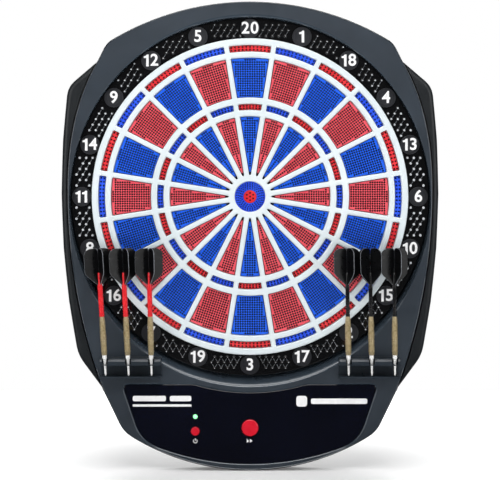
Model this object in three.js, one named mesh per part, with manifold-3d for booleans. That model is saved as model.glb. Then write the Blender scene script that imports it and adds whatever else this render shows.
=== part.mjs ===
// An electronic soft-tip dartboard: a wall-hung plastic housing with a sprung, segmented target, a control
// panel, a battery bay and two racks that hold six darts.
//
// Millimetres, +Z up. The front faces -Y and the back lies on the wall plane Y = 0. The origin is on the
// back face, straight behind the bull. A depth is a distance from the wall towards the room, so a point at
// depth d has y = -d.

import * as THREE from 'three';
import { mergeVertices } from 'three/addons/utils/BufferGeometryUtils.js';
import Module from 'manifold-3d';

const wasm = await Module();
wasm.setup();

// ---------------------------------------------------------------------------------------------------
// Driving dimensions
// ---------------------------------------------------------------------------------------------------

const GAP = 0.3; // between pieces that touch
const SEGMENT_GAP = 0.4; // all round a scoring segment
const WALL = 2.5; // moulded walls of the housing, bezel and catch ring

// Cabinet, round the bezel's opening
const CABINET_DEPTH = 40;
const TOP_BAND = 19.8; // from the opening's lip up to the top edge
const SIDE_BAND = 2.5; // from the lip out to the bezel's edge, where it is widest
const CONSOLE_HEIGHT = 110; // from the lip down to the bottom edge
const WIDEST_Z = 10;
const SIDE_RADIUS = 1090;
const WING_WIDTH = 8.2;
const WING_STEP = 3; // the side wings lie this far behind the bezel's face
const WING_GROOVE = 1.5;

// Target, as radii round the bull
const DOUBLE_OUTER = 197;
const DOUBLE_BAND = 8.8;
const DOUBLE_BAR = 7.7;
const TREBLE_OUTER = 120.5;
const TREBLE_BAND = 8;
const TREBLE_BAR = 8.2;
const HUB_RADIUS = 28;
const BULL_OUTER = 19.9;
const BULL_INNER = 8.7;
const RIM_WIDTH = 8.5;
const SPOKE_WIDTH = 6.6;
const SECTORS = 20;
const NUMBER_ORDER = [20, 1, 18, 4, 13, 6, 10, 15, 2, 17, 3, 19, 7, 16, 8, 11, 14, 9, 12, 5];

// Depth of the target's layers
const SPIDER_STEP = 1; // the spider's face lies this far behind the bezel's
const SPIDER_THICKNESS = 15;
const SEGMENT_RECESS = 3;
const SEGMENT_TRAVEL = 1;
const CARRIER_THICKNESS = 1.6;
const CARRIER_LAP = 1.5; // a carrier plate reaches this far behind the bars
const MAT_THICKNESS = 3;
const MEMBRANE_THICKNESS = 0.6;
const BACKING_THICKNESS = 4;

// Catch ring
const CATCH_WIDTH = 26.7;
const CATCH_DROP = 8; // from the bezel's face down to the ring's face
const NUMBER_CIRCLE_INSET = 13.5; // from the ring's outer edge in to the number discs' centres
const NUMBER_DISC_RADIUS = 12.6;
const NUMBER_DISC_RISE = 1.2;
const TAIL_WIDTH = 30; // of the membrane's flat tail, which leaves through a notch

// Bezel opening: round at the catch ring, flaring to a slightly dropped ellipse at the face
const THROAT_CLEARANCE = 0.5;
const LIP_WIDEN = 1.5;
const LIP_HEIGHTEN = 6;
const LIP_DROP = 6;
const THROAT_WALL = 2.2;
const BEZEL_FACE_THICKNESS = 3;

// Control panel
const PANEL_THICKNESS = 1.2;
const PANEL_SEAT = 1.8;
const PANEL_LEDGE = 4;
const PANEL_TOP_BELOW_LIP = 9;
const PANEL_SHOULDER_RISE = 10.6; // the panel's shoulders stand this far above the middle of its top edge
const PANEL_HALF_WIDTH = 166;
const PANEL_FOOT_HALF_WIDTH = 141.5;
const PANEL_FOOT_RISE = 30.7;
const PANEL_BOTTOM_MARGIN = 8.3;

// Buttons and lamp, placed by their height above the panel's bottom edge
const POWER_BUTTON = { x: -70.9, rise: 42.4, radius: 5.5, proud: 2, travel: 1 };
const NEXT_BUTTON = { x: 0, rise: 46.9, radius: 10.75, proud: 2.8, travel: 1.5 };
const STATUS_LED = { x: -70.9, rise: 61.3, radius: 2.5, proud: 0.5 };
const BUTTON_FLANGE = 2;
const BUTTON_FLANGE_THICKNESS = 1.5;
const BUTTON_STEM_RADIUS = 2;

// Main board, which stands in front of the membrane's tail
const BOARD_TAIL_ROOM = 1.5;
const BOARD_THICKNESS = 1.6;
const BOARD_LEFT = -98;
const BOARD_RIGHT = 27;
const BOARD_HEIGHT = 60;
const BOARD_RISE = 28.7; // its lower edge above the panel's bottom edge
const BOARD_POST_INSET = 6;
const BOARD_POST_RADIUS = 3;
const BOARD_PIN_RADIUS = 1.2;
const SWITCH_SIZE = 6;
const SWITCH_HEIGHT = 3.5;
const PLUNGER_RADIUS = 1.75;
const PLUNGER_HEIGHT = 1;
const LEAD_TERMINAL = { width: 9, height: 4 };
const CHIPS = [
  { x: -39, fall: 19, width: 18, length: 14, height: 2.4 },
  { x: -43, fall: 41, width: 14, length: 14, height: 1.5 },
];

// Battery bay for three AA cells, side by side
const CELL_RADIUS = 7.1;
const CELL_BODY = 49.5;
const CELL_NUB = 1;
const CELL_NUB_RADIUS = 2.7;
const CELL_COUNT = 3;
const CELL_SPACE = 0.9; // between neighbouring cells
const CELL_CLEARANCE = { door: 1.2, floor: 0.6, side: 1.8 };
const SPRING = { length: 4.3, tip: 2.5, base: 4 };
const BAY_LEFT = 47.5;
const BAY_RISE = 62; // the bay's centre above the cabinet's bottom edge
const BAY_WALL = 3.2;
const BAY_FLOOR = 1.6;
const DOOR_THICKNESS = 2.2;
const DOOR_LAP = 1.6;
const DOOR_CLEARANCE = 0.4;
const CONTACT_THICKNESS = 0.5;
const LEAD_RADIUS = 0.8;

// Screws that hold the bezel to the rear housing
const SCREW = { head: 3, headHeight: 2, shank: 1.5, length: 16, seat: 10.3 };
const POST_RADIUS = 4.5;
const POST_SPLIT = 18; // depth where the rear post meets the bezel's post
const BACKING_POSTS = 6;
const BACKING_POST_RADIUS = 5;
const BACKING_POST_INSET = 25.5; // from the spider's edge

// Keyhole slots that hang the cabinet on two wall screws
const KEYHOLE = { x: 110, z: 170, entry: 4.5, slot: 2.3, rise: 9 };

// Dart racks and darts
const RACK_CENTRE_X = 156.2;
const TIP_SPACING = 29.7;
const RACK_INNER_MARGIN = 12;
const RACK_OUTER_MARGIN = 6.6;
const RACK_ABOVE_PANEL = 9.4; // from the panel's shoulders up to the rack
const RACK_HEIGHT = 26.6;
const RACK_NOSE = 5.5; // of the shelf in front of the darts' axes
const RACK_SHELF = { drop: 1.6, thickness: 8.1, chamfer: 3 };
const RACK_LEDGE = { thickness: 2.4, setback: 2 };
const RACK_BACK = 2.4;
const RACK_PEG = { radius: 2.5, length: 3.7, rise: 9, inner: 21, outer: 24 };
const NOTCH_HALF_WIDTH = 3.9;
const WEB_THICKNESS = 1;
const WEB_HOLE_RADIUS = 2.2;
const DART_STANDOFF = 18.5; // the darts' axes in front of the bezel's face
const FLIGHT_SPAN = 19;
const FLIGHT_THICKNESS = 0.8;
const DARTS = [
  { side: -1, place: -1, lean: -3.7, twist: 24.5 },
  { side: -1, place: 0, lean: -2.9, twist: 27 },
  { side: -1, place: 1, lean: -1.4, twist: 24.5 },
  { side: 1, place: -1, lean: -0.9, twist: 24.5 },
  { side: 1, place: 0, lean: -0.9, twist: 45 },
  { side: 1, place: 1, lean: -0.3, twist: 22 },
];

// Facets of round shapes
const TARGET_FACETS = 60;
const HIDDEN_DISC_FACETS = 36;

// ---------------------------------------------------------------------------------------------------
// Derived sizes
// ---------------------------------------------------------------------------------------------------

const BEZEL_FACE = CABINET_DEPTH;
const WING_FACE = BEZEL_FACE - WING_STEP;

const SPIDER_FACE = BEZEL_FACE - SPIDER_STEP;
const SPIDER_BACK = SPIDER_FACE - SPIDER_THICKNESS;
const SPIDER_RADIUS = DOUBLE_OUTER + RIM_WIDTH;
const SEGMENT_FACE = SPIDER_FACE - SEGMENT_RECESS;
const CARRIER_FRONT = SPIDER_BACK - GAP;
const CARRIER_BACK = CARRIER_FRONT - CARRIER_THICKNESS;
const MAT_FRONT = CARRIER_BACK - SEGMENT_TRAVEL - GAP;
const MAT_BACK = MAT_FRONT - MAT_THICKNESS;
const MEMBRANE_FRONT = MAT_BACK - GAP;
const MEMBRANE_BACK = MEMBRANE_FRONT - MEMBRANE_THICKNESS;
const BACKING_FRONT = MEMBRANE_BACK - GAP;
const BACKING_BACK = BACKING_FRONT - BACKING_THICKNESS;
const MAT_RADIUS = DOUBLE_OUTER + CARRIER_LAP - 0.5;
const SKIRT_INNER = MAT_RADIUS + 2.3;

const OUTER_SINGLE_OUTER = DOUBLE_OUTER - DOUBLE_BAND - DOUBLE_BAR;
const TREBLE_INNER = TREBLE_OUTER - TREBLE_BAND;
const BANDS = [
  { inner: DOUBLE_OUTER - DOUBLE_BAND, outer: DOUBLE_OUTER, steps: 3 },
  { inner: TREBLE_OUTER + TREBLE_BAR, outer: OUTER_SINGLE_OUTER, steps: 3 },
  { inner: TREBLE_INNER, outer: TREBLE_OUTER, steps: 2 },
  { inner: HUB_RADIUS, outer: TREBLE_INNER - TREBLE_BAR, steps: 2 },
];

const CATCH_FACE = BEZEL_FACE - CATCH_DROP;
const CATCH_INNER = SPIDER_RADIUS + GAP;
const CATCH_OUTER = CATCH_INNER + CATCH_WIDTH;
const NUMBER_CIRCLE = CATCH_OUTER - NUMBER_CIRCLE_INSET;

const THROAT_RADIUS = CATCH_OUTER + THROAT_CLEARANCE;
const LIP_TOP = THROAT_RADIUS + LIP_HEIGHTEN - LIP_DROP;
const LIP_BOTTOM = -(THROAT_RADIUS + LIP_HEIGHTEN + LIP_DROP);
const CABINET_TOP = LIP_TOP + TOP_BAND;
const CABINET_BOTTOM = CONSOLE_HEIGHT - LIP_BOTTOM;
const BEZEL_HALF_WIDTH = THROAT_RADIUS + LIP_WIDEN + SIDE_BAND;
const CABINET_HALF_WIDTH = BEZEL_HALF_WIDTH + WING_WIDTH;
const SKIRT_BACK = CATCH_FACE - 0.2;
const RIM_DEPTH = SKIRT_BACK - GAP;

const PANEL_ARC = PANEL_TOP_BELOW_LIP - LIP_BOTTOM;
const PANEL_SHOULDER_Z = PANEL_SHOULDER_RISE - PANEL_ARC;
const PANEL_BOTTOM = PANEL_BOTTOM_MARGIN - CABINET_BOTTOM;
const PANEL_FRONT = BEZEL_FACE - PANEL_SEAT + GAP + PANEL_THICKNESS;
const PANEL_BACK = PANEL_FRONT - PANEL_THICKNESS;
const BOARD_BACK = MEMBRANE_FRONT + BOARD_TAIL_ROOM;
const BOARD_FRONT = BOARD_BACK + BOARD_THICKNESS;
const BOARD_BOTTOM = PANEL_BOTTOM + BOARD_RISE;
const BOARD_TOP = BOARD_BOTTOM + BOARD_HEIGHT;
const SWITCH_TOP = BOARD_FRONT + GAP + SWITCH_HEIGHT + PLUNGER_HEIGHT;

const CELL_PITCH = 2 * CELL_RADIUS + CELL_SPACE;
const CELL_DEPTH = DOOR_THICKNESS + CELL_CLEARANCE.door + CELL_RADIUS;
const BAY_LENGTH = CELL_BODY + CELL_NUB + SPRING.length + 2 * CONTACT_THICKNESS + 4 * GAP;
const BAY_HEIGHT = CELL_COUNT * CELL_PITCH - CELL_SPACE + 2 * CELL_CLEARANCE.side;
const BAY_DEPTH = CELL_DEPTH + CELL_RADIUS + CELL_CLEARANCE.floor;
const BAY_X = BAY_LEFT + BAY_LENGTH / 2;
const BAY_Z = BAY_RISE - CABINET_BOTTOM;

const RACK_BOTTOM = PANEL_SHOULDER_Z + RACK_ABOVE_PANEL;
const RACK_TOP = RACK_BOTTOM + RACK_HEIGHT;
const RACK_BACK_DEPTH = BEZEL_FACE + GAP;
const SHELF_TOP = RACK_TOP - RACK_SHELF.drop;
const SHELF_BOTTOM = SHELF_TOP - RACK_SHELF.thickness;
const DART_DEPTH = BEZEL_FACE + DART_STANDOFF;
const RACK_FRONT = DART_DEPTH + RACK_NOSE;

// ---------------------------------------------------------------------------------------------------
// Solids
// ---------------------------------------------------------------------------------------------------

// The signed volume tells whether a closed mesh's faces point outwards.
function signedVolume(positions, triangles) {
  const corner = (i) => new THREE.Vector3().fromArray(positions, triangles[i] * 3);
  let six = 0;
  for (let i = 0; i < triangles.length; i += 3) {
    six += corner(i).dot(corner(i + 1).cross(corner(i + 2)));
  }
  return six / 6;
}

// A closed three.js geometry as a solid that can be joined and cut.
function toSolid(geometry) {
  const bare = geometry.index ? geometry.toNonIndexed() : geometry.clone();
  bare.deleteAttribute('normal');
  bare.deleteAttribute('uv');
  const merged = mergeVertices(bare, 1e-4);
  const positions = merged.attributes.position.array;
  const triangles = [];
  for (let i = 0; i < merged.index.count; i += 3) {
    const [a, b, c] = [0, 1, 2].map((k) => merged.index.getX(i + k));
    if (a !== b && b !== c && c !== a) triangles.push(a, b, c);
  }
  if (signedVolume(positions, triangles) < 0) triangles.reverse();
  const mesh = new wasm.Mesh({
    numProp: 3,
    vertProperties: new Float32Array(positions),
    triVerts: new Uint32Array(triangles),
  });
  return new wasm.Manifold(mesh);
}

function toGeometry(solid) {
  const mesh = solid.getMesh();
  const geometry = new THREE.BufferGeometry();
  geometry.setAttribute('position', new THREE.BufferAttribute(mesh.vertProperties, 3));
  geometry.setIndex(new THREE.BufferAttribute(mesh.triVerts, 1));
  geometry.computeVertexNormals();
  return geometry;
}

const joined = (first, ...others) => others.reduce((sum, other) => sum.add(other), first);
const cut = (first, ...others) => others.reduce((rest, other) => rest.subtract(other), first);

// A flat outline (x, z) between two depths.
function slab(outline, back, front) {
  const shape = new THREE.Shape(outline);
  const geometry = new THREE.ExtrudeGeometry(shape, { depth: front - back, bevelEnabled: false });
  geometry.rotateX(Math.PI / 2);
  geometry.translate(0, -back, 0);
  return toSolid(geometry);
}

// A profile of [radius, depth] points turned round an axis along Y.
function turned(profile, facets, x = 0, z = 0) {
  const points = profile.map(([radius, depth]) => new THREE.Vector2(radius, depth));
  const geometry = new THREE.LatheGeometry(points, facets);
  geometry.rotateX(Math.PI);
  geometry.translate(x, 0, z);
  return toSolid(geometry);
}

function disc(radius, back, front, facets, x = 0, z = 0) {
  return turned([[0, back], [radius, back], [radius, front], [0, front]], facets, x, z);
}

function tube(inner, outer, back, front, facets, x = 0, z = 0) {
  const profile = [[inner, back], [outer, back], [outer, front], [inner, front], [inner, back]];
  return turned(profile, facets, x, z);
}

function block([left, right], [back, front], [low, high]) {
  const geometry = new THREE.BoxGeometry(right - left, front - back, high - low);
  geometry.translate((left + right) / 2, -(back + front) / 2, (low + high) / 2);
  return toSolid(geometry);
}

// A side profile of [depth, z] points between two x positions.
function prism(profile, left, right) {
  const shape = new THREE.Shape(profile.map(([depth, z]) => new THREE.Vector2(depth, z)));
  const geometry = new THREE.ExtrudeGeometry(shape, { depth: right - left, bevelEnabled: false });
  const across = new THREE.Matrix4().makeBasis(
    new THREE.Vector3(0, -1, 0),
    new THREE.Vector3(0, 0, 1),
    new THREE.Vector3(-1, 0, 0),
  );
  geometry.applyMatrix4(across);
  geometry.translate(right, 0, 0);
  return toSolid(geometry);
}

// ---------------------------------------------------------------------------------------------------
// Outlines
// ---------------------------------------------------------------------------------------------------

const at = (x, z) => new THREE.Vector2(x, z);

// An arc that leaves the centre line level, at a crown, and ends at a point to its right.
function crownArc(crownZ, end, steps) {
  const rise = end.y - crownZ;
  const radius = (end.x ** 2 + rise ** 2) / (2 * Math.abs(rise));
  const sweep = Math.asin(end.x / radius);
  const points = [];
  for (let i = 0; i <= steps; i += 1) {
    const angle = (sweep * i) / steps;
    const sag = Math.sign(rise) * radius * (1 - Math.cos(angle));
    points.push(at(radius * Math.sin(angle), crownZ + sag));
  }
  return points;
}

function bend(start, control, end, steps) {
  return new THREE.QuadraticBezierCurve(start, control, end).getPoints(steps);
}

// Splits a polyline at a distance from its start.
function splitAt(points, distance) {
  let walked = 0;
  for (let i = 1; i < points.length; i += 1) {
    const step = points[i].distanceTo(points[i - 1]);
    if (walked + step > distance) {
      const joint = points[i - 1].clone().lerp(points[i], (distance - walked) / step);
      return { joint, rest: [joint, ...points.slice(i)] };
    }
    walked += step;
  }
  return { joint: points.at(-1), rest: points.slice(-1) };
}

// Joins edges end to end and rounds each corner between two of them, starting at a given distance from it.
function roundedChain(edges, roundings) {
  let chain = edges[0];
  roundings.forEach((distance, i) => {
    const corner = chain.at(-1);
    const before = splitAt([...chain].reverse(), distance);
    const after = splitAt(edges[i + 1], distance);
    const curve = bend(before.joint, corner, after.joint, 3);
    chain = [...before.rest.reverse(), ...curve.slice(1, -1), ...after.rest];
  });
  return chain;
}

// Closes a right-hand half, which runs from the centre line to the centre line.
function mirrored(half) {
  const left = half.slice(1, -1).reverse().map((point) => at(-point.x, point.y));
  return [...half, ...left];
}

// Moves an outline outwards by a distance, or inwards when it is negative.
function offset(points, distance) {
  const outward = THREE.ShapeUtils.isClockWise(points) ? 1 : -1;
  const normals = points.map((point, i) => {
    const along = points[(i + 1) % points.length].clone().sub(point).normalize();
    return at(-along.y * outward, along.x * outward);
  });
  return points.map((point, i) => {
    const before = normals.at(i - 1);
    const middle = before.clone().add(normals[i]).normalize();
    return point.clone().addScaledVector(middle, distance / middle.dot(normals[i]));
  });
}

const rotated = (points, angle) => points.map((point) => point.clone().rotateAround(at(0, 0), -angle));

function circle(radius, facets, x = 0, z = 0) {
  const points = [];
  for (let i = 0; i < facets; i += 1) {
    const angle = (2 * Math.PI * i) / facets;
    points.push(at(x + radius * Math.sin(angle), z + radius * Math.cos(angle)));
  }
  return points;
}

// One sector's window between two spokes at twelve o'clock, drawn in by a margin all round.
function wedge({ inner, outer, steps }, margin) {
  const halfSector = Math.PI / SECTORS;
  const arc = (radius) => {
    const reach = halfSector - Math.asin((SPOKE_WIDTH / 2 + margin) / radius);
    const points = [];
    for (let i = 0; i <= steps; i += 1) {
      const angle = -reach + (2 * reach * i) / steps;
      points.push(at(radius * Math.sin(angle), radius * Math.cos(angle)));
    }
    return points;
  };
  return [...arc(outer - margin), ...arc(inner + margin).reverse()];
}

const sideX = (z) => CABINET_HALF_WIDTH - SIDE_RADIUS + Math.sqrt(SIDE_RADIUS ** 2 - (z - WIDEST_Z) ** 2);

// Corners of the cabinet's right half, from the top down
const SHOULDER = at(CABINET_HALF_WIDTH - 59.2, CABINET_TOP - 53.5);
const NOTCH = at(CABINET_HALF_WIDTH - 48.5, CABINET_TOP - 75.3);
const HIP = at(sideX(CABINET_TOP - 109.8), CABINET_TOP - 109.8);
const FLANK = at(sideX(149 - CABINET_BOTTOM), 149 - CABINET_BOTTOM);
const WAIST = at(CABINET_HALF_WIDTH - 54.2, 105 - CABINET_BOTTOM);
const FOOT = at(CABINET_HALF_WIDTH - 80.7, 50.5 - CABINET_BOTTOM);

function sideArc(start, end, steps) {
  const points = [];
  for (let i = 0; i <= steps; i += 1) {
    const z = start.y + ((end.y - start.y) * i) / steps;
    points.push(at(sideX(z), z));
  }
  return points;
}

const TOP_ARC = crownArc(CABINET_TOP, SHOULDER, 6);
const BOTTOM_ARC = crownArc(-CABINET_BOTTOM, FOOT, 6).reverse();

const HOUSING_OUTLINE = mirrored(
  roundedChain(
    [
      TOP_ARC,
      [SHOULDER, NOTCH],
      [NOTCH, HIP],
      sideArc(HIP, FLANK, 5),
      [FLANK, WAIST],
      [WAIST, FOOT],
      BOTTOM_ARC,
    ],
    [9, 4, 12, 12, 6, 12],
  ),
);

// The bezel shares the top and bottom edges and leaves the wings bare between the notch and the waist.
const BEZEL_SIDE = at(BEZEL_HALF_WIDTH, WIDEST_Z);
const UPPER_SIDE = bend(NOTCH, at(BEZEL_HALF_WIDTH, NOTCH.y - 67.5), BEZEL_SIDE, 6);
const LOWER_SIDE = bend(BEZEL_SIDE, at(BEZEL_HALF_WIDTH, WAIST.y + 125), WAIST, 6);
const BEZEL_OUTLINE = mirrored(
  roundedChain(
    [TOP_ARC, [SHOULDER, NOTCH], [...UPPER_SIDE, ...LOWER_SIDE.slice(1)], [WAIST, FOOT], BOTTOM_ARC],
    [9, 4, 6, 12],
  ),
);

// The panel's top edge follows the bezel's lip in the middle and stands up in two shoulders.
const PANEL_SHOULDER = at(Math.sqrt(PANEL_ARC ** 2 - PANEL_SHOULDER_Z ** 2), PANEL_SHOULDER_Z);
const PANEL_CORNER = at(PANEL_HALF_WIDTH, PANEL_SHOULDER_Z);
const PANEL_FOOT = at(PANEL_FOOT_HALF_WIDTH, PANEL_BOTTOM + PANEL_FOOT_RISE);
const PANEL_OUTLINE = mirrored(
  roundedChain(
    [
      crownArc(-PANEL_ARC, PANEL_SHOULDER, 4),
      [PANEL_SHOULDER, PANEL_CORNER],
      [PANEL_CORNER, PANEL_FOOT],
      crownArc(PANEL_BOTTOM, PANEL_FOOT, 6).reverse(),
    ],
    [5, 10, 22],
  ),
);

// Screw posts, as pairs left and right
const SCREW_POSTS = [
  at(CABINET_HALF_WIDTH - 125.2, CABINET_TOP - 40.8),
  at(CABINET_HALF_WIDTH - 40.2, 205 - CABINET_BOTTOM),
  at(CABINET_HALF_WIDTH - 69.2, 93 - CABINET_BOTTOM),
].flatMap((post) => [at(-post.x, post.y), post]);

const BOARD_POSTS = [BOARD_LEFT + BOARD_POST_INSET, BOARD_RIGHT - BOARD_POST_INSET].flatMap((x) => [
  at(x, BOARD_TOP - BOARD_POST_INSET),
  at(x, BOARD_BOTTOM + BOARD_POST_INSET),
]);

const controlZ = (control) => PANEL_BOTTOM + control.rise;

// ---------------------------------------------------------------------------------------------------
// Housing, bezel and catch ring
// ---------------------------------------------------------------------------------------------------

const BAY_INSIDE = {
  x: [BAY_LEFT, BAY_LEFT + BAY_LENGTH],
  z: [BAY_Z - BAY_HEIGHT / 2, BAY_Z + BAY_HEIGHT / 2],
};
const DOOR_OPENING = {
  x: [BAY_INSIDE.x[0] - DOOR_LAP, BAY_INSIDE.x[1] + DOOR_LAP],
  z: [BAY_INSIDE.z[0] - DOOR_LAP, BAY_INSIDE.z[1] + DOOR_LAP],
};
const LUG_PLACES = [BAY_X - BAY_LENGTH / 4, BAY_X + BAY_LENGTH / 4];
const LUG = { halfWidth: 5, reach: 3, thickness: 1.5 };
const LUG_POCKET = { side: 0.6, low: 1.2, front: 6.4, wall: 1.8 };
const LEAD_DEPTH = 15;
const LEAD_Z = { positive: BAY_Z + 6, negative: BAY_Z + 2 };

function keyhole(side) {
  const { x, z, entry, slot, rise } = KEYHOLE;
  const back = -1;
  const front = WALL + 1;
  return joined(
    disc(entry, back, front, 16, side * x, z),
    block([side * x - slot, side * x + slot], [back, front], [z, z + rise]),
    disc(slot, back, front, 12, side * x, z + rise),
  );
}

function batteryBay() {
  const pocketLow = DOOR_OPENING.z[0] - LUG.reach - LUG_POCKET.low;
  const shell = block(
    [BAY_INSIDE.x[0] - BAY_WALL, BAY_INSIDE.x[1] + BAY_WALL],
    [WALL - 0.1, BAY_DEPTH + BAY_FLOOR],
    [pocketLow - LUG_POCKET.wall, BAY_INSIDE.z[1] + BAY_WALL],
  );
  const inside = block(BAY_INSIDE.x, [-1, BAY_DEPTH], BAY_INSIDE.z);
  const opening = block(DOOR_OPENING.x, [-1, WALL], DOOR_OPENING.z);
  const lugPockets = LUG_PLACES.map((x) => {
    const reach = LUG.halfWidth + LUG_POCKET.side;
    return block([x - reach, x + reach], [WALL - 0.01, LUG_POCKET.front], [pocketLow, BAY_INSIDE.z[0] + 0.1]);
  });
  const leadHoles = [
    leadHole(BAY_INSIDE.x[0] - BAY_WALL - 1, BAY_INSIDE.x[0] + 1, LEAD_Z.positive),
    leadHole(BAY_INSIDE.x[1] - 1, BAY_INSIDE.x[1] + BAY_WALL + 1, LEAD_Z.negative),
  ];
  return { shell, cuts: [inside, opening, ...lugPockets, ...leadHoles] };
}

function leadHole(left, right, z) {
  const reach = LEAD_RADIUS + 2 * GAP;
  return block([left, right], [LEAD_DEPTH - reach, LEAD_DEPTH + reach], [z - reach, z + reach]);
}

function rearHousing() {
  const tray = cut(
    slab(HOUSING_OUTLINE, 0, WING_FACE),
    slab(offset(BEZEL_OUTLINE, WING_GROOVE), RIM_DEPTH, BEZEL_FACE),
    slab(offset(HOUSING_OUTLINE, -WALL), WALL, RIM_DEPTH - WALL),
    slab(offset(BEZEL_OUTLINE, -WALL), RIM_DEPTH - WALL - 0.1, BEZEL_FACE),
  );
  const bay = batteryBay();
  const screwPosts = SCREW_POSTS.map((p) => disc(POST_RADIUS, WALL - 0.1, POST_SPLIT, 14, p.x, p.y));
  const backingPosts = [];
  for (let i = 0; i < BACKING_POSTS; i += 1) {
    const angle = (2 * Math.PI * (i + 0.5)) / BACKING_POSTS;
    const x = (SPIDER_RADIUS - BACKING_POST_INSET) * Math.sin(angle);
    const z = (SPIDER_RADIUS - BACKING_POST_INSET) * Math.cos(angle);
    backingPosts.push(disc(BACKING_POST_RADIUS, WALL - 0.1, BACKING_BACK - GAP, 10, x, z));
  }
  const boardPosts = BOARD_POSTS.flatMap((p) => [
    disc(BOARD_POST_RADIUS, WALL - 0.1, BOARD_BACK - GAP, 10, p.x, p.y),
    disc(BOARD_PIN_RADIUS, BOARD_BACK - GAP - 0.1, BOARD_FRONT + 1, 8, p.x, p.y),
  ]);
  const screwBores = SCREW_POSTS.flatMap((p) => [
    disc(SCREW.head + 0.5, -1, SCREW.seat, 14, p.x, p.y),
    disc(SCREW.shank + GAP, SCREW.seat - 0.1, POST_SPLIT + 1, 12, p.x, p.y),
  ]);
  return cut(
    joined(tray, bay.shell, ...screwPosts, ...backingPosts, ...boardPosts),
    ...bay.cuts,
    ...screwBores,
    keyhole(-1),
    keyhole(1),
  );
}

// The bezel's opening as a plug, round at the catch ring and an ellipse at the face, grown by a wall.
function throatPlug(grow, back, front) {
  const rings = [back, SKIRT_BACK, BEZEL_FACE, front];
  const profile = [[0, back], ...rings.map((depth) => [THROAT_RADIUS + grow, depth]), [0, front]];
  const points = profile.map(([radius, depth]) => at(radius, depth));
  const geometry = new THREE.LatheGeometry(points, TARGET_FACETS);
  geometry.rotateX(Math.PI);
  const position = geometry.attributes.position;
  const radius = THROAT_RADIUS + grow;
  for (let i = 0; i < position.count; i += 1) {
    const depth = -position.getY(i);
    const flare = THREE.MathUtils.clamp((depth - SKIRT_BACK) / (BEZEL_FACE - SKIRT_BACK), 0, 1);
    const widen = 1 + (flare * LIP_WIDEN) / radius;
    const heighten = 1 + (flare * LIP_HEIGHTEN) / radius;
    position.setX(i, position.getX(i) * widen);
    position.setZ(i, position.getZ(i) * heighten - flare * LIP_DROP);
  }
  return toSolid(geometry);
}

function frontBezel() {
  const faceBack = BEZEL_FACE - BEZEL_FACE_THICKNESS;
  const hollow = cut(
    slab(offset(BEZEL_OUTLINE, -WALL), SKIRT_BACK - 1, faceBack),
    throatPlug(THROAT_WALL, SKIRT_BACK - 2, BEZEL_FACE + 1),
  );
  const shell = cut(slab(BEZEL_OUTLINE, SKIRT_BACK, BEZEL_FACE), hollow);
  const posts = SCREW_POSTS.map((p) => disc(POST_RADIUS - 0.5, POST_SPLIT + GAP, faceBack + 0.1, 14, p.x, p.y));
  const bores = SCREW_POSTS.map((p) =>
    disc(SCREW.shank + GAP, POST_SPLIT, SCREW.seat + SCREW.length + 1, 12, p.x, p.y),
  );
  const pegHoles = rackPegs().map((p) =>
    disc(RACK_PEG.radius + GAP, faceBack - 1, BEZEL_FACE + 1, 12, p.x, p.y),
  );
  return cut(
    joined(shell, ...posts),
    throatPlug(0, SKIRT_BACK - 1, BEZEL_FACE + 1),
    slab(PANEL_OUTLINE, BEZEL_FACE - PANEL_SEAT, BEZEL_FACE + 1),
    slab(offset(PANEL_OUTLINE, -PANEL_LEDGE), faceBack - 1, BEZEL_FACE),
    ...bores,
    ...pegHoles,
  );
}

function catchRing() {
  const underside = CATCH_FACE - WALL;
  const foot = WALL + GAP;
  const profile = [
    [CATCH_INNER, underside],
    [CATCH_INNER, CATCH_FACE],
    [CATCH_OUTER, CATCH_FACE],
    [CATCH_OUTER, foot],
    [CATCH_OUTER - WALL, foot],
    [CATCH_OUTER - WALL, underside],
    [CATCH_INNER, underside],
  ];
  const discs = NUMBER_ORDER.map((_, i) => {
    const angle = (2 * Math.PI * i) / SECTORS;
    const [x, z] = [NUMBER_CIRCLE * Math.sin(angle), NUMBER_CIRCLE * Math.cos(angle)];
    return disc(NUMBER_DISC_RADIUS, CATCH_FACE - 0.1, CATCH_FACE + NUMBER_DISC_RISE, 12, x, z);
  });
  const tailNotch = block(
    [-TAIL_WIDTH / 2 - 4, TAIL_WIDTH / 2 + 4],
    [foot - 1, MEMBRANE_FRONT + 3],
    [-CATCH_OUTER - 5, -CATCH_OUTER + WALL + 5],
  );
  return cut(joined(turned(profile, TARGET_FACETS), ...discs), tailNotch);
}

// ---------------------------------------------------------------------------------------------------
// Target
// ---------------------------------------------------------------------------------------------------

function spider() {
  const windows = NUMBER_ORDER.flatMap((_, i) => {
    const angle = (2 * Math.PI * i) / SECTORS;
    return BANDS.map((band) => slab(rotated(wedge(band, 0), angle), SPIDER_BACK - 1, SPIDER_FACE + 1));
  });
  const bullWindow = disc(BULL_OUTER, SPIDER_BACK - 1, SPIDER_FACE + 1, 24);
  const grid = cut(disc(SPIDER_RADIUS, SPIDER_BACK, SPIDER_FACE, TARGET_FACETS), ...windows, bullWindow);
  const flangeFront = CATCH_FACE - WALL - GAP;
  const flange = tube(SPIDER_RADIUS - 1, SPIDER_RADIUS + 3.5, flangeFront - 2.4, flangeFront, TARGET_FACETS);
  const skirt = tube(SKIRT_INNER, SPIDER_RADIUS, BACKING_FRONT + GAP, SPIDER_BACK + 0.1, TARGET_FACETS);
  const tailNotch = block(
    [-TAIL_WIDTH / 2 - 2, TAIL_WIDTH / 2 + 2],
    [BACKING_FRONT - 1, MEMBRANE_FRONT + 1],
    [-SPIDER_RADIUS - 5, -SKIRT_INNER + 5],
  );
  return cut(joined(grid, flange, skirt), tailNotch);
}

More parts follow.
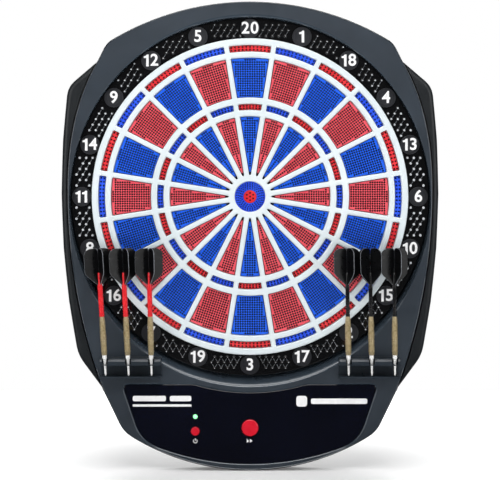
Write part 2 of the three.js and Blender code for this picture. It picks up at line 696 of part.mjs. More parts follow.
// The four segments of the number at twelve o'clock, on the carrier plate behind the spider.
function scoringColumn() {
  const carrier = { inner: HUB_RADIUS, outer: DOUBLE_OUTER, steps: 3 };
  const plate = slab(wedge(carrier, -CARRIER_LAP), CARRIER_BACK, CARRIER_FRONT);
  const segments = BANDS.map((band) => slab(wedge(band, SEGMENT_GAP), CARRIER_FRONT - 0.1, SEGMENT_FACE));
  return joined(plate, ...segments);
}

// The inner bull's flange lies in a counterbore behind the outer bull.
const INNER_FLANGE = { width: 2.2, thickness: 1.4 };
const OUTER_FLANGE_WIDTH = 2.5;

function bullOuter() {
  const bodyBack = CARRIER_BACK + INNER_FLANGE.thickness + SEGMENT_TRAVEL + GAP;
  const bore = BULL_INNER - SEGMENT_GAP + INNER_FLANGE.width + 0.5;
  const rim = BULL_OUTER - SEGMENT_GAP;
  const profile = [
    [BULL_INNER, bodyBack],
    [BULL_INNER, SEGMENT_FACE],
    [rim, SEGMENT_FACE],
    [rim, CARRIER_FRONT],
    [rim + OUTER_FLANGE_WIDTH, CARRIER_FRONT],
    [rim + OUTER_FLANGE_WIDTH, CARRIER_BACK],
    [bore, CARRIER_BACK],
    [bore, bodyBack],
    [BULL_INNER, bodyBack],
  ];
  return turned(profile, 24);
}

function bullInner() {
  const radius = BULL_INNER - SEGMENT_GAP;
  const profile = [
    [0, CARRIER_BACK],
    [radius + INNER_FLANGE.width, CARRIER_BACK],
    [radius + INNER_FLANGE.width, CARRIER_BACK + INNER_FLANGE.thickness],
    [radius, CARRIER_BACK + INNER_FLANGE.thickness],
    [radius, SEGMENT_FACE],
    [0, SEGMENT_FACE],
  ];
  return turned(profile, 24);
}

const rubberMat = () => disc(MAT_RADIUS, MAT_BACK, MAT_FRONT, HIDDEN_DISC_FACETS);
const backingPlate = () => disc(SPIDER_RADIUS - 0.5, BACKING_BACK, BACKING_FRONT, HIDDEN_DISC_FACETS);

const TAIL_OVERLAP = 3.7; // of the tail behind the main board

function sensorMembrane() {
  const tail = block(
    [-TAIL_WIDTH / 2, TAIL_WIDTH / 2],
    [MEMBRANE_BACK, MEMBRANE_FRONT],
    [BOARD_TOP - TAIL_OVERLAP, -MAT_RADIUS + 10],
  );
  return joined(disc(MAT_RADIUS, MEMBRANE_BACK, MEMBRANE_FRONT, HIDDEN_DISC_FACETS), tail);
}

// ---------------------------------------------------------------------------------------------------
// Control panel, buttons and main board
// ---------------------------------------------------------------------------------------------------

function controlPanel() {
  const holes = [POWER_BUTTON, NEXT_BUTTON, STATUS_LED].map((control) =>
    disc(control.radius + 0.4, PANEL_BACK - 1, PANEL_FRONT + 1, 20, control.x, controlZ(control)),
  );
  return cut(slab(offset(PANEL_OUTLINE, -GAP), PANEL_BACK, PANEL_FRONT), ...holes);
}

function button({ x, radius, proud, travel, rise }) {
  const flangeFront = PANEL_BACK - GAP;
  const flangeBack = flangeFront - BUTTON_FLANGE_THICKNESS;
  const face = PANEL_FRONT + proud;
  const stemEnd = SWITCH_TOP + travel + GAP;
  const profile = [
    [0, stemEnd],
    [BUTTON_STEM_RADIUS, stemEnd],
    [BUTTON_STEM_RADIUS, flangeBack],
    [radius + BUTTON_FLANGE, flangeBack],
    [radius + BUTTON_FLANGE, flangeFront],
    [radius, flangeFront],
    [radius, face - 0.8],
    [radius - 1, face],
    [0, face],
  ];
  return turned(profile, 20, x, PANEL_BOTTOM + rise);
}

function statusLed() {
  const { x, radius, proud } = STATUS_LED;
  const flangeFront = PANEL_BACK - GAP;
  const profile = [
    [0, BOARD_FRONT + 1.5],
    [radius, BOARD_FRONT + 1.5],
    [radius, flangeFront - BUTTON_FLANGE_THICKNESS],
    [radius + 1.1, flangeFront - BUTTON_FLANGE_THICKNESS],
    [radius + 1.1, flangeFront],
    [radius, flangeFront],
    [radius, PANEL_FRONT],
    [radius - 0.6, PANEL_FRONT + proud],
    [0, PANEL_FRONT + proud],
  ];
  return turned(profile, 16, x, controlZ(STATUS_LED));
}

function mainBoard() {
  const plate = block([BOARD_LEFT, BOARD_RIGHT], [BOARD_BACK, BOARD_FRONT], [BOARD_BOTTOM, BOARD_TOP]);
  const tailConnector = block(
    [-TAIL_WIDTH / 2 - 1, TAIL_WIDTH / 2 + 1],
    [MEMBRANE_BACK - 1.2, BOARD_BACK + 0.1],
    [BOARD_TOP - 9, BOARD_TOP - TAIL_OVERLAP - GAP],
  );
  const leadTerminal = block(
    [BOARD_RIGHT - LEAD_TERMINAL.width, BOARD_RIGHT],
    [BOARD_FRONT - 0.1, BOARD_FRONT + LEAD_TERMINAL.height],
    [LEAD_Z.negative - 3, LEAD_Z.positive + 3],
  );
  const lamp = block(
    [STATUS_LED.x - 1.5, STATUS_LED.x + 1.5],
    [BOARD_FRONT - 0.1, BOARD_FRONT + 1.1],
    [controlZ(STATUS_LED) - 1.5, controlZ(STATUS_LED) + 1.5],
  );
  const chips = CHIPS.map(({ x, fall, width, length, height }) =>
    block(
      [x - width / 2, x + width / 2],
      [BOARD_FRONT - 0.1, BOARD_FRONT + height],
      [BOARD_TOP - fall - length / 2, BOARD_TOP - fall + length / 2],
    ),
  );
  const postHoles = BOARD_POSTS.map((p) =>
    disc(BOARD_PIN_RADIUS + 0.4, BOARD_BACK - 1, BOARD_FRONT + 1, 8, p.x, p.y),
  );
  return cut(joined(plate, tailConnector, leadTerminal, lamp, ...chips), ...postHoles);
}

function tactSwitch(control) {
  const back = BOARD_FRONT + GAP;
  const half = SWITCH_SIZE / 2;
  const z = controlZ(control);
  return joined(
    block([control.x - half, control.x + half], [back, back + SWITCH_HEIGHT], [z - half, z + half]),
    disc(PLUNGER_RADIUS, back + SWITCH_HEIGHT - 0.1, SWITCH_TOP, 10, control.x, z),
  );
}

// ---------------------------------------------------------------------------------------------------
// Batteries, contacts, leads and door
// ---------------------------------------------------------------------------------------------------

const cellZ = (i) => BAY_Z + (i - (CELL_COUNT - 1) / 2) * CELL_PITCH;
const CONTACT_X = {
  left: BAY_INSIDE.x[0] + GAP,
  right: BAY_INSIDE.x[1] - GAP,
};
const CELL_START = CONTACT_X.left + CONTACT_THICKNESS + GAP;

// A cell along X with its nub at the left, or at the right when it is turned round.
function cell(i) {
  const profile = [
    at(0, 0),
    at(CELL_NUB_RADIUS, 0),
    at(CELL_NUB_RADIUS, CELL_NUB),
    at(CELL_RADIUS, CELL_NUB),
    at(CELL_RADIUS, CELL_NUB + CELL_BODY),
    at(0, CELL_NUB + CELL_BODY),
  ];
  const geometry = new THREE.LatheGeometry(profile, 14);
  geometry.rotateZ(-Math.PI / 2);
  geometry.translate(CELL_START - BAY_X, 0, 0);
  if (i % 2 === 1) geometry.rotateZ(Math.PI);
  geometry.translate(BAY_X, -CELL_DEPTH, cellZ(i));
  return toSolid(geometry);
}

// A contact plate on the bay's left (-1) or right (1) wall, with a spring for each flat cell end that it meets.
function contact(side, cells) {
  const outer = side < 0 ? CONTACT_X.left : CONTACT_X.right;
  const inner = outer - side * CONTACT_THICKNESS;
  const zs = cells.map(cellZ);
  const plate = block(
    [Math.min(inner, outer), Math.max(inner, outer)],
    [CELL_DEPTH - 5.5, CELL_DEPTH + 5.5],
    [Math.min(...zs) - 5, Math.max(...zs) + 5],
  );
  const springs = cells.filter((i) => (side < 0) === (i % 2 === 1)).map((i) => {
    const geometry = new THREE.CylinderGeometry(SPRING.tip, SPRING.base, SPRING.length + 0.1, 10);
    geometry.rotateZ((side * Math.PI) / 2);
    geometry.translate(inner - (side * (SPRING.length - 0.1)) / 2, -CELL_DEPTH, cellZ(i));
    return toSolid(geometry);
  });
  return joined(plate, ...springs);
}

function lead(points) {
  const curve = new THREE.CatmullRomCurve3(points.map(([x, depth, z]) => new THREE.Vector3(x, -depth, z)));
  const section = new THREE.Shape(circle(LEAD_RADIUS, 8));
  const steps = Math.ceil(curve.getLength() / 4);
  return toSolid(new THREE.ExtrudeGeometry(section, { steps, extrudePath: curve }));
}

const TERMINAL_DEPTH = BOARD_FRONT + LEAD_TERMINAL.height * 0.4;

function positiveLead() {
  const run = BOARD_FRONT + LEAD_TERMINAL.height / 2;
  const z = LEAD_Z.positive;
  const start = CONTACT_X.left - GAP - 0.1;
  const wallFace = BAY_INSIDE.x[0] - BAY_WALL;
  return lead([
    [start, LEAD_DEPTH, z],
    [wallFace - 1, LEAD_DEPTH, z],
    [wallFace - 4, LEAD_DEPTH + 2, z],
    [wallFace - 7, run - 1, z],
    [(wallFace + BOARD_RIGHT) / 2 - 2, run, z],
    [BOARD_RIGHT + GAP, run, z],
  ]);
}

function negativeLead() {
  const run = BAY_DEPTH + 4;
  const z = LEAD_Z.negative;
  const wallFace = BAY_INSIDE.x[1] + BAY_WALL;
  return lead([
    [CONTACT_X.right + GAP + 0.1, LEAD_DEPTH, z],
    [wallFace + 1, LEAD_DEPTH, z],
    [wallFace + 3.5, LEAD_DEPTH + 2.5, z],
    [wallFace + 2, run - 0.6, z],
    [wallFace - 3, run, z],
    [BAY_X, run, z],
    [BAY_LEFT - BAY_WALL, run, z],
    [BOARD_RIGHT + 8, TERMINAL_DEPTH, z],
    [BOARD_RIGHT + GAP, TERMINAL_DEPTH, z],
  ]);
}

function batteryDoor() {
  const [left, right] = [DOOR_OPENING.x[0] + DOOR_CLEARANCE, DOOR_OPENING.x[1] - DOOR_CLEARANCE];
  const [low, high] = [DOOR_OPENING.z[0] + DOOR_CLEARANCE, DOOR_OPENING.z[1] - DOOR_CLEARANCE];
  const lugs = LUG_PLACES.map((x) => {
    const across = [x - LUG.halfWidth, x + LUG.halfWidth];
    const front = WALL + 0.4 + LUG.thickness;
    return joined(
      block(across, [WALL + 0.4, front], [low - LUG.reach, low + 3]),
      block(across, [DOOR_THICKNESS - 0.1, front], [low + DOOR_CLEARANCE + 0.2, low + 3]),
    );
  });
  const fingerNotch = disc(7, -1, 0.9, 16, BAY_X, high);
  return cut(joined(block([left, right], [0, DOOR_THICKNESS], [low, high]), ...lugs), fingerNotch);
}

// ---------------------------------------------------------------------------------------------------
// Screws, racks and darts
// ---------------------------------------------------------------------------------------------------

function housingScrew({ x, y: z }) {
  const seat = SCREW.seat - GAP;
  const profile = [
    [0, seat - SCREW.headHeight],
    [SCREW.head, seat - SCREW.headHeight],
    [SCREW.head, seat],
    [SCREW.shank, seat],
    [SCREW.shank, seat + SCREW.length - 2],
    [0, seat + SCREW.length],
  ];
  return turned(profile, 10, x, z);
}

const rackTips = () => [-1, 0, 1].map((place) => RACK_CENTRE_X + place * TIP_SPACING);

function rackPegs() {
  const z = RACK_BOTTOM + RACK_PEG.rise;
  return [-1, 1].flatMap((side) => [
    at(side * (RACK_CENTRE_X - RACK_PEG.inner), z),
    at(side * (RACK_CENTRE_X + RACK_PEG.outer), z),
  ]);
}

function dartRack(side) {
  const back = RACK_BACK_DEPTH;
  const plateFront = back + RACK_BACK;
  const ledgeFront = RACK_FRONT - RACK_LEDGE.setback;
  const ledgeTop = RACK_BOTTOM + RACK_LEDGE.thickness;
  const profile = [
    [back, RACK_TOP],
    [plateFront, RACK_TOP],
    [plateFront, SHELF_TOP],
    [RACK_FRONT - RACK_SHELF.chamfer, SHELF_TOP],
    [RACK_FRONT, SHELF_TOP - RACK_SHELF.chamfer],
    [RACK_FRONT, SHELF_BOTTOM],
    [plateFront, SHELF_BOTTOM],
    [plateFront, ledgeTop],
    [ledgeFront, ledgeTop],
    [ledgeFront, RACK_BOTTOM],
    [back, RACK_BOTTOM],
  ];
  const inner = RACK_CENTRE_X - TIP_SPACING - RACK_INNER_MARGIN;
  const outer = RACK_CENTRE_X + TIP_SPACING + RACK_OUTER_MARGIN;
  const ends = [side * inner, side * outer].sort((a, b) => a - b);
  const notches = rackTips().flatMap((tip) => {
    const x = side * tip;
    const notch = joined(
      uprightPost(NOTCH_HALF_WIDTH, x, DART_DEPTH, SHELF_BOTTOM + WEB_THICKNESS, SHELF_TOP + 2, 16),
      block(
        [x - NOTCH_HALF_WIDTH, x + NOTCH_HALF_WIDTH],
        [DART_DEPTH, RACK_FRONT + 1],
        [SHELF_BOTTOM + WEB_THICKNESS, SHELF_TOP + 2],
      ),
    );
    return [notch, uprightPost(WEB_HOLE_RADIUS, x, DART_DEPTH, SHELF_BOTTOM - 1, SHELF_TOP, 12)];
  });
  const pegs = rackPegs().filter((p) => p.x * side > 0).map((p) =>
    disc(RACK_PEG.radius, back - RACK_PEG.length, back + 0.1, 12, p.x, p.y),
  );
  return joined(cut(prism(profile, ...ends), ...notches), ...pegs);
}

// An upright cylinder between two heights.
function uprightPost(radius, x, depth, low, high, facets) {
  const geometry = new THREE.CylinderGeometry(radius, radius, high - low, facets);
  geometry.rotateX(Math.PI / 2);
  geometry.translate(x, -depth, (low + high) / 2);
  return toSolid(geometry);
}

// A dart along Z, its point down. Height 0 is where the rack's web holds the tip.
const DART = {
  point: -13.5,
  tipTop: 13.1,
  barrelTop: 62.2,
  shaftTop: 119,
  flightLow: 102.6,
  flightTop: 150.3,
};

function dart(twist) {
  const profile = [
    [0, DART.point],
    [1.2, DART.point],
    [1.6, 0],
    [2.95, DART.tipTop - 1],
    [2.95, DART.tipTop],
    [3.5, DART.tipTop],
    [4, DART.tipTop + 5],
    [4, DART.barrelTop - 4],
    [2.9, DART.barrelTop],
    [2.4, DART.barrelTop + 2],
    [2.1, DART.shaftTop],
    [0, DART.shaftTop],
  ].map(([radius, height]) => at(radius, height));
  const body = new THREE.LatheGeometry(profile, 8);
  body.rotateX(Math.PI / 2);
  const blade = [
    at(0, DART.flightLow),
    at(5, DART.flightLow + 2),
    at(FLIGHT_SPAN, DART.flightLow + 17),
    at(FLIGHT_SPAN, DART.flightTop - 7),
    at(FLIGHT_SPAN - 7, DART.flightTop),
  ];
  const outline = mirrored([at(0, DART.flightLow), ...blade.slice(1), at(0, DART.flightTop)]);
  const blades = [0, Math.PI / 2].map((turn) => {
    const shape = new THREE.Shape(outline);
    const geometry = new THREE.ExtrudeGeometry(shape, { depth: FLIGHT_THICKNESS, bevelEnabled: false });
    geometry.translate(0, 0, -FLIGHT_THICKNESS / 2);
    geometry.rotateX(Math.PI / 2);
    geometry.rotateZ(turn + THREE.MathUtils.degToRad(twist));
    return toSolid(geometry);
  });
  return joined(toSolid(body), ...blades);
}

// ---------------------------------------------------------------------------------------------------
// Materials
// ---------------------------------------------------------------------------------------------------

function finish(color, roughness, metalness = 0) {
  return new THREE.MeshStandardMaterial({ color, roughness, metalness });
}

const FINISHES = {
  bezelPlastic: finish(0x3a4450, 0.45),
  wingPlastic: finish(0x2b2f34, 0.5),
  blackPlastic: finish(0x101114, 0.4),
  spiderWhite: finish(0xf2f5f5, 0.4),
  segmentBlue: finish(0x1450c3, 0.45),
  segmentRed: finish(0xb4303c, 0.45),
  panelGloss: finish(0x05060c, 0.08),
  buttonRed: finish(0xe61e30, 0.3),
  ledClear: finish(0xaaffc8, 0.1),
  rubber: finish(0x1b1b1b, 0.9),
  film: finish(0xc9a24a, 0.4),
  hardboard: finish(0x8a6a48, 0.8),
  circuitGreen: finish(0x145a32, 0.5),
  switchBlack: finish(0x18181a, 0.5),
  cellWrap: finish(0x30343c, 0.35),
  nickel: finish(0xc8c6be, 0.3, 1),
  leadRed: finish(0xb01818, 0.5),
  leadBlack: finish(0x111111, 0.5),
  screwSteel: finish(0x6a6c70, 0.35, 1),
  dartBrass: finish(0xc8a86a, 0.3, 1),
};

// ---------------------------------------------------------------------------------------------------
// Assembly
// ---------------------------------------------------------------------------------------------------

const cabinet = new THREE.Group();

function place(name, solid, material, parent = cabinet) {
  const mesh = new THREE.Mesh(toGeometry(solid), material);
  mesh.name = name;
  parent.add(mesh);
  return mesh;
}

place('rear_housing', rearHousing(), FINISHES.wingPlastic);
place('front_bezel', frontBezel(), FINISHES.bezelPlastic);
place('catch_ring', catchRing(), FINISHES.blackPlastic);
place('spider', spider(), FINISHES.spiderWhite);
place('rubber_mat', rubberMat(), FINISHES.rubber);
place('sensor_membrane', sensorMembrane(), FINISHES.film);
place('backing_plate', backingPlate(), FINISHES.hardboard);

// Single-score segments alternate in colour round the board, starting blue at twenty.
const columnGeometry = toGeometry(scoringColumn());
NUMBER_ORDER.forEach((number, i) => {
  const column = new THREE.Mesh(columnGeometry, i % 2 === 0 ? FINISHES.segmentBlue : FINISHES.segmentRed);
  column.name = `scoring_${String(number).padStart(2, '0')}`;
  column.rotation.y = (2 * Math.PI * i) / SECTORS;
  cabinet.add(column);
});
place('bull_outer', bullOuter(), FINISHES.segmentBlue);
place('bull_inner', bullInner(), FINISHES.segmentRed);

place('control_panel', controlPanel(), FINISHES.panelGloss);
place('power_button', button(POWER_BUTTON), FINISHES.buttonRed);
place('next_button', button(NEXT_BUTTON), FINISHES.buttonRed);
place('status_led', statusLed(), FINISHES.ledClear);
place('main_board', mainBoard(), FINISHES.circuitGreen);
place('power_switch', tactSwitch(POWER_BUTTON), FINISHES.switchBlack);
place('next_switch', tactSwitch(NEXT_BUTTON), FINISHES.switchBlack);

for (let i = 0; i < CELL_COUNT; i += 1) {
  place(`battery_${i + 1}`, cell(i), FINISHES.cellWrap);
}
place('contact_positive', contact(-1, [2]), FINISHES.nickel);
place('contact_link_right', contact(1, [1, 2]), FINISHES.nickel);
place('contact_link_left', contact(-1, [0, 1]), FINISHES.nickel);
place('contact_negative', contact(1, [0]), FINISHES.nickel);
place('lead_positive', positiveLead(), FINISHES.leadRed);
place('lead_negative', negativeLead(), FINISHES.leadBlack);
place('battery_door', batteryDoor(), FINISHES.wingPlastic);

SCREW_POSTS.forEach((post, i) => {
  place(`housing_screw_${i + 1}`, housingScrew(post), FINISHES.screwSteel);
});

place('dart_rack_left', dartRack(-1), FINISHES.blackPlastic);
place('dart_rack_right', dartRack(1), FINISHES.blackPlastic);

DARTS.forEach(({ side, place: slot, lean, twist }, i) => {
  const holder = new THREE.Group();
  holder.position.set(side * RACK_CENTRE_X + slot * TIP_SPACING, -DART_DEPTH, SHELF_BOTTOM);
  holder.rotation.y = THREE.MathUtils.degToRad(lean);
  cabinet.add(holder);
  place(`dart_${i + 1}`, dart(twist), FINISHES.dartBrass, holder);
});

export default cabinet;
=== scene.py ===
# An electronic soft-tip dartboard that hangs on a wall: a perforated target in a white spider, a catch ring
# with numbers, a satin bezel with a gloss control panel, and two racks that hold six darts.
#
# Outlines are drawn in millimetres as (x, z) points. A depth is a distance from the wall towards the room.

import math
import bmesh
import bpy
from mathutils import Matrix, Vector
from mathutils.geometry import delaunay_2d_cdt


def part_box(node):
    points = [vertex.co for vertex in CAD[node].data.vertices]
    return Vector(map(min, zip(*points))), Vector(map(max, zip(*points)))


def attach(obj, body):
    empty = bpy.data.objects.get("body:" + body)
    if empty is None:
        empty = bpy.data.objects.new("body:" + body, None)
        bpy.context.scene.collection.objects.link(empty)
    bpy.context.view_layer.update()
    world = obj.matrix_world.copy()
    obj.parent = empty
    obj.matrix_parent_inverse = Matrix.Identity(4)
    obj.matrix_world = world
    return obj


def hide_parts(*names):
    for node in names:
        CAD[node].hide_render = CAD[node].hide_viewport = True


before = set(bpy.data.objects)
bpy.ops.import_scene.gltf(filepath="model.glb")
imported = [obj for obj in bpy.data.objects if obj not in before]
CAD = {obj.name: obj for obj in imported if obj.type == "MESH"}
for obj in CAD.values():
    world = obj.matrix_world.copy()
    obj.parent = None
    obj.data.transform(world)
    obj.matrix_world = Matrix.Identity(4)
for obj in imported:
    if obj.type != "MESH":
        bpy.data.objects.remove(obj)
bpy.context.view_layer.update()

MM = 0.001
TURN = 2 * math.pi


def front_of(node):
    """The depth of a CAD node's face towards the room."""
    return -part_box(node)[0].y / MM


def back_of(node):
    """The depth of a CAD node's face towards the wall."""
    return -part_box(node)[1].y / MM


# ---------------------------------------------------------------------------------------------------
# Sizes, in millimetres
# ---------------------------------------------------------------------------------------------------

SECTORS = 20
NUMBER_ORDER = [20, 1, 18, 4, 13, 6, 10, 15, 2, 17, 3, 19, 7, 16, 8, 11, 14, 9, 12, 5]

# Target, as radii round the bull
DOUBLE_OUTER = 197
DOUBLE_BAND = 8.8
DOUBLE_BAR = 7.7
TREBLE_OUTER = 120.5
TREBLE_BAND = 8
TREBLE_BAR = 8.2
HUB_RADIUS = 28
BULL_OUTER = 19.9
BULL_INNER = 8.7
RIM_WIDTH = 8.5
SPOKE_WIDTH = 6.6
SEGMENT_GAP = 0.4
SPIDER_RADIUS = DOUBLE_OUTER + RIM_WIDTH
BANDS = {
    "double": (DOUBLE_OUTER - DOUBLE_BAND, DOUBLE_OUTER),
    "outer_single": (TREBLE_OUTER + TREBLE_BAR, DOUBLE_OUTER - DOUBLE_BAND - DOUBLE_BAR),
    "treble": (TREBLE_OUTER - TREBLE_BAND, TREBLE_OUTER),
    "inner_single": (HUB_RADIUS, TREBLE_OUTER - TREBLE_BAND - TREBLE_BAR),
}

# Depths, from the frame
BEZEL_FACE = front_of("front_bezel")
BEZEL_BACK = back_of("front_bezel")
SPIDER_FACE = front_of("spider")
SPIDER_BACK = SPIDER_FACE - 15
SPIDER_SKIRT_BACK = back_of("spider")
SEGMENT_FACE = front_of("scoring_20")
CARRIER_BACK = back_of("scoring_20")
CARRIER_FRONT = CARRIER_BACK + 1.6
CATCH_FACE = BEZEL_FACE - 8
CATCH_BACK = back_of("catch_ring")
WING_FACE = front_of("rear_housing")
PANEL_FRONT = front_of("control_panel")
PANEL_BACK = back_of("control_panel")

# Catch ring and number discs
CATCH_INNER = SPIDER_RADIUS + 0.3
CATCH_OUTER = CATCH_INNER + 26.7
NUMBER_CIRCLE = CATCH_OUTER - 13.5
NUMBER_DISC_RADIUS = 12.6
NUMBER_DISC_RISE = 1.2
PIP_PITCH = 8.36
PIP_ROW = 7.2

# Cabinet, from the frame and the opening's lip
THROAT_RADIUS = CATCH_OUTER + 0.5
LIP_WIDEN = 1.5
LIP_HEIGHTEN = 6
LIP_DROP = 6
CABINET_HALF_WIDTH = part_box("rear_housing")[1].x / MM
CABINET_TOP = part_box("rear_housing")[1].z / MM
CABINET_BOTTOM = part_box("rear_housing")[0].z / MM
BEZEL_HALF_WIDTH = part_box("front_bezel")[1].x / MM
WIDEST_Z = 10
SIDE_RADIUS = 1090
WALL = 2.5


# ---------------------------------------------------------------------------------------------------
# Outlines
# ---------------------------------------------------------------------------------------------------


def at(x, z):
    return Vector((x, z))


def polar(radius, angle):
    """A point at a clockwise angle from twelve o'clock."""
    return at(radius * math.sin(angle), radius * math.cos(angle))


def circle(radius, count, x=0.0, z=0.0):
    return [at(x, z) + polar(radius, -TURN * i / count) for i in range(count)]


def area(loop):
    """An outline's area, negative when it runs clockwise."""
    return sum(a.x * b.y - b.x * a.y for a, b in zip(loop, loop[1:] + loop[:1])) / 2


def anticlockwise(loop):
    return loop if area(loop) > 0 else loop[::-1]


def grown(loop, distance):
    """An anticlockwise outline moved outwards, or inwards when the distance is negative."""
    normals = []
    for a, b in zip(loop, loop[1:] + loop[:1]):
        along = (b - a).normalized()
        normals.append(at(along.y, -along.x))
    moved = []
    for i, point in enumerate(loop):
        middle = (normals[i - 1] + normals[i]).normalized()
        moved.append(point + middle * (distance / max(middle.dot(normals[i]), 0.3)))
    return moved


def bend(start, control, end, steps):
    """A curve from start to end that leaves and arrives along the lines to a control point."""
    curve = []
    for i in range(steps + 1):
        t = i / steps
        curve.append(start * (1 - t) ** 2 + control * (2 * t * (1 - t)) + end * t**2)
    return curve


def softened(loop, radius, steps=4, sharp=0.4):
    """Rounds every corner that turns by more than `sharp` radians."""
    made = []
    for i, point in enumerate(loop):
        before, after = loop[i - 1], loop[(i + 1) % len(loop)]
        if (point - before).angle(after - point) < sharp:
            made.append(point)
            continue
        reach_in = min(radius, (point - before).length * 0.45)
        reach_out = min(radius, (after - point).length * 0.45)
        start = point + (before - point).normalized() * reach_in
        end = point + (after - point).normalized() * reach_out
        made += bend(start, point, end, steps)
    return made


def crown_arc(crown_z, end, steps):
    """An arc that leaves the centre line level, at a crown, and ends at a point to its right."""
    rise = end.y - crown_z
    radius = (end.x**2 + rise**2) / (2 * abs(rise))
    sweep = math.asin(end.x / radius)
    points = []
    for i in range(steps + 1):
        angle = sweep * i / steps
        fall = radius * (1 - math.cos(angle))
        points.append(at(radius * math.sin(angle), crown_z + math.copysign(fall, rise)))
    return points


def split_at(points, distance):
    """What is left of a chain of points after a distance along it."""
    walked = 0.0
    for i in range(1, len(points)):
        step = (points[i] - points[i - 1]).length
        if walked + step > distance:
            joint = points[i - 1].lerp(points[i], (distance - walked) / step)
            return [joint, *points[i:]]
        walked += step
    return points[-1:]


def rounded_chain(edges, roundings, steps=6):
    """Joins edges end to end and rounds each corner, starting at a given distance from it."""
    chain = edges[0]
    for distance, edge in zip(roundings, edges[1:]):
        corner = chain[-1]
        before = split_at(chain[::-1], distance)[::-1]
        after = split_at(edge, distance)
        chain = before + bend(before[-1], corner, after[0], steps)[1:-1] + after
    return chain


def mirrored(half):
    """Closes a right-hand half, which runs from the centre line to the centre line."""
    return anticlockwise(half + [at(-p.x, p.y) for p in half[-2:0:-1]])


def side_x(z):
    """Half the housing's width at a height: its sides are large arcs."""
    return CABINET_HALF_WIDTH - SIDE_RADIUS + math.sqrt(SIDE_RADIUS**2 - (z - WIDEST_Z) ** 2)


SHOULDER = at(CABINET_HALF_WIDTH - 59.2, CABINET_TOP - 53.5)
NOTCH = at(CABINET_HALF_WIDTH - 48.5, CABINET_TOP - 75.3)
HIP = at(side_x(CABINET_TOP - 109.8), CABINET_TOP - 109.8)
FLANK = at(side_x(CABINET_BOTTOM + 149), CABINET_BOTTOM + 149)
WAIST = at(CABINET_HALF_WIDTH - 54.2, CABINET_BOTTOM + 105)
FOOT = at(CABINET_HALF_WIDTH - 80.7, CABINET_BOTTOM + 50.5)
TOP_ARC = crown_arc(CABINET_TOP, SHOULDER, 24)
BOTTOM_ARC = crown_arc(CABINET_BOTTOM, FOOT, 24)[::-1]
SIDE_STEPS = 20
SIDE_ARC = [
    at(side_x(z), z) for z in [HIP.y + (FLANK.y - HIP.y) * i / SIDE_STEPS for i in range(SIDE_STEPS + 1)]
]
HOUSING_OUTLINE = mirrored(
    rounded_chain(
        [TOP_ARC, [SHOULDER, NOTCH], [NOTCH, HIP], SIDE_ARC, [FLANK, WAIST], [WAIST, FOOT], BOTTOM_ARC],
        [9, 4, 12, 12, 6, 12],
    )
)
BEZEL_SIDE = at(BEZEL_HALF_WIDTH, WIDEST_Z)
UPPER_SIDE = bend(NOTCH, at(BEZEL_HALF_WIDTH, NOTCH.y - 67.5), BEZEL_SIDE, 20)
LOWER_SIDE = bend(BEZEL_SIDE, at(BEZEL_HALF_WIDTH, WAIST.y + 125), WAIST, 20)
BEZEL_OUTLINE = mirrored(
    rounded_chain(
        [TOP_ARC, [SHOULDER, NOTCH], UPPER_SIDE + LOWER_SIDE[1:], [WAIST, FOOT], BOTTOM_ARC],
        [9, 4, 6, 12],
    )
)

LIP_BOTTOM = -(THROAT_RADIUS + LIP_HEIGHTEN + LIP_DROP)
PANEL_ARC = 9 - LIP_BOTTOM
PANEL_SHOULDER_Z = 10.6 - PANEL_ARC
PANEL_BOTTOM = CABINET_BOTTOM + 8.3
PANEL_SHOULDER = at(math.sqrt(PANEL_ARC**2 - PANEL_SHOULDER_Z**2), PANEL_SHOULDER_Z)
PANEL_CORNER = at(166, PANEL_SHOULDER_Z)
PANEL_FOOT = at(141.5, PANEL_BOTTOM + 30.7)
PANEL_OUTLINE = mirrored(
    rounded_chain(
        [
            crown_arc(-PANEL_ARC, PANEL_SHOULDER, 12),
            [PANEL_SHOULDER, PANEL_CORNER],
            [PANEL_CORNER, PANEL_FOOT],
            crown_arc(PANEL_BOTTOM, PANEL_FOOT, 20)[::-1],
        ],
        [5, 10, 22],
    )
)


def throat(share, grow=0.0, count=180):
    """The bezel's opening: round at the catch ring (share 0), a dropped ellipse at the face (share 1).
    It grows less at the sides, where the frame is narrow."""
    across = THROAT_RADIUS + share * LIP_WIDEN + grow * 0.05
    upright = THROAT_RADIUS + share * LIP_HEIGHTEN + grow
    loop = [at(p.x * across, p.y * upright - share * LIP_DROP) for p in circle(1, count)]
    return anticlockwise(loop)


def wedge(inner, outer, margin):
    """One sector's window between two spokes at twelve o'clock, drawn in by a margin all round."""

    def arc(radius):
        reach = math.pi / SECTORS - math.asin((SPOKE_WIDTH / 2 + margin) / radius)
        steps = max(1, round(2 * reach * radius / 4.5))
        return [polar(radius, -reach + 2 * reach * i / steps) for i in range(steps + 1)]

    return anticlockwise(arc(outer - margin) + arc(inner + margin)[::-1])


def turned_by(loop, angle):
    """An outline turned clockwise about the bull."""
    cosine, sine = math.cos(angle), math.sin(angle)
    return [at(p.x * cosine + p.y * sine, p.y * cosine - p.x * sine) for p in loop]


def rounded_box(left, right, low, high, radius):
    corners = [at(left, low), at(right, low), at(right, high), at(left, high)]
    return softened(corners, radius, 5)


def inside(loop, point):
    """Whether a point lies inside an outline: it does if a line from it crosses an odd number of edges."""
    hit = False
    for a, b in zip(loop, loop[1:] + loop[:1]):
        if (a.y > point.y) != (b.y > point.y):
            if point.x < (b.x - a.x) * (point.y - a.y) / (b.y - a.y) + a.x:
                hit = not hit
    return hit


# ---------------------------------------------------------------------------------------------------
# Solids
# ---------------------------------------------------------------------------------------------------


def rolled(radius, steps=3):
    """A quarter-round edge as (inset, drop) pairs, from the flat face to the wall."""
    pairs = []
    for i in range(steps + 1):
        angle = math.pi / 2 * i / steps
        pairs.append((radius * (1 - math.sin(angle)), radius * (1 - math.cos(angle))))
    return pairs


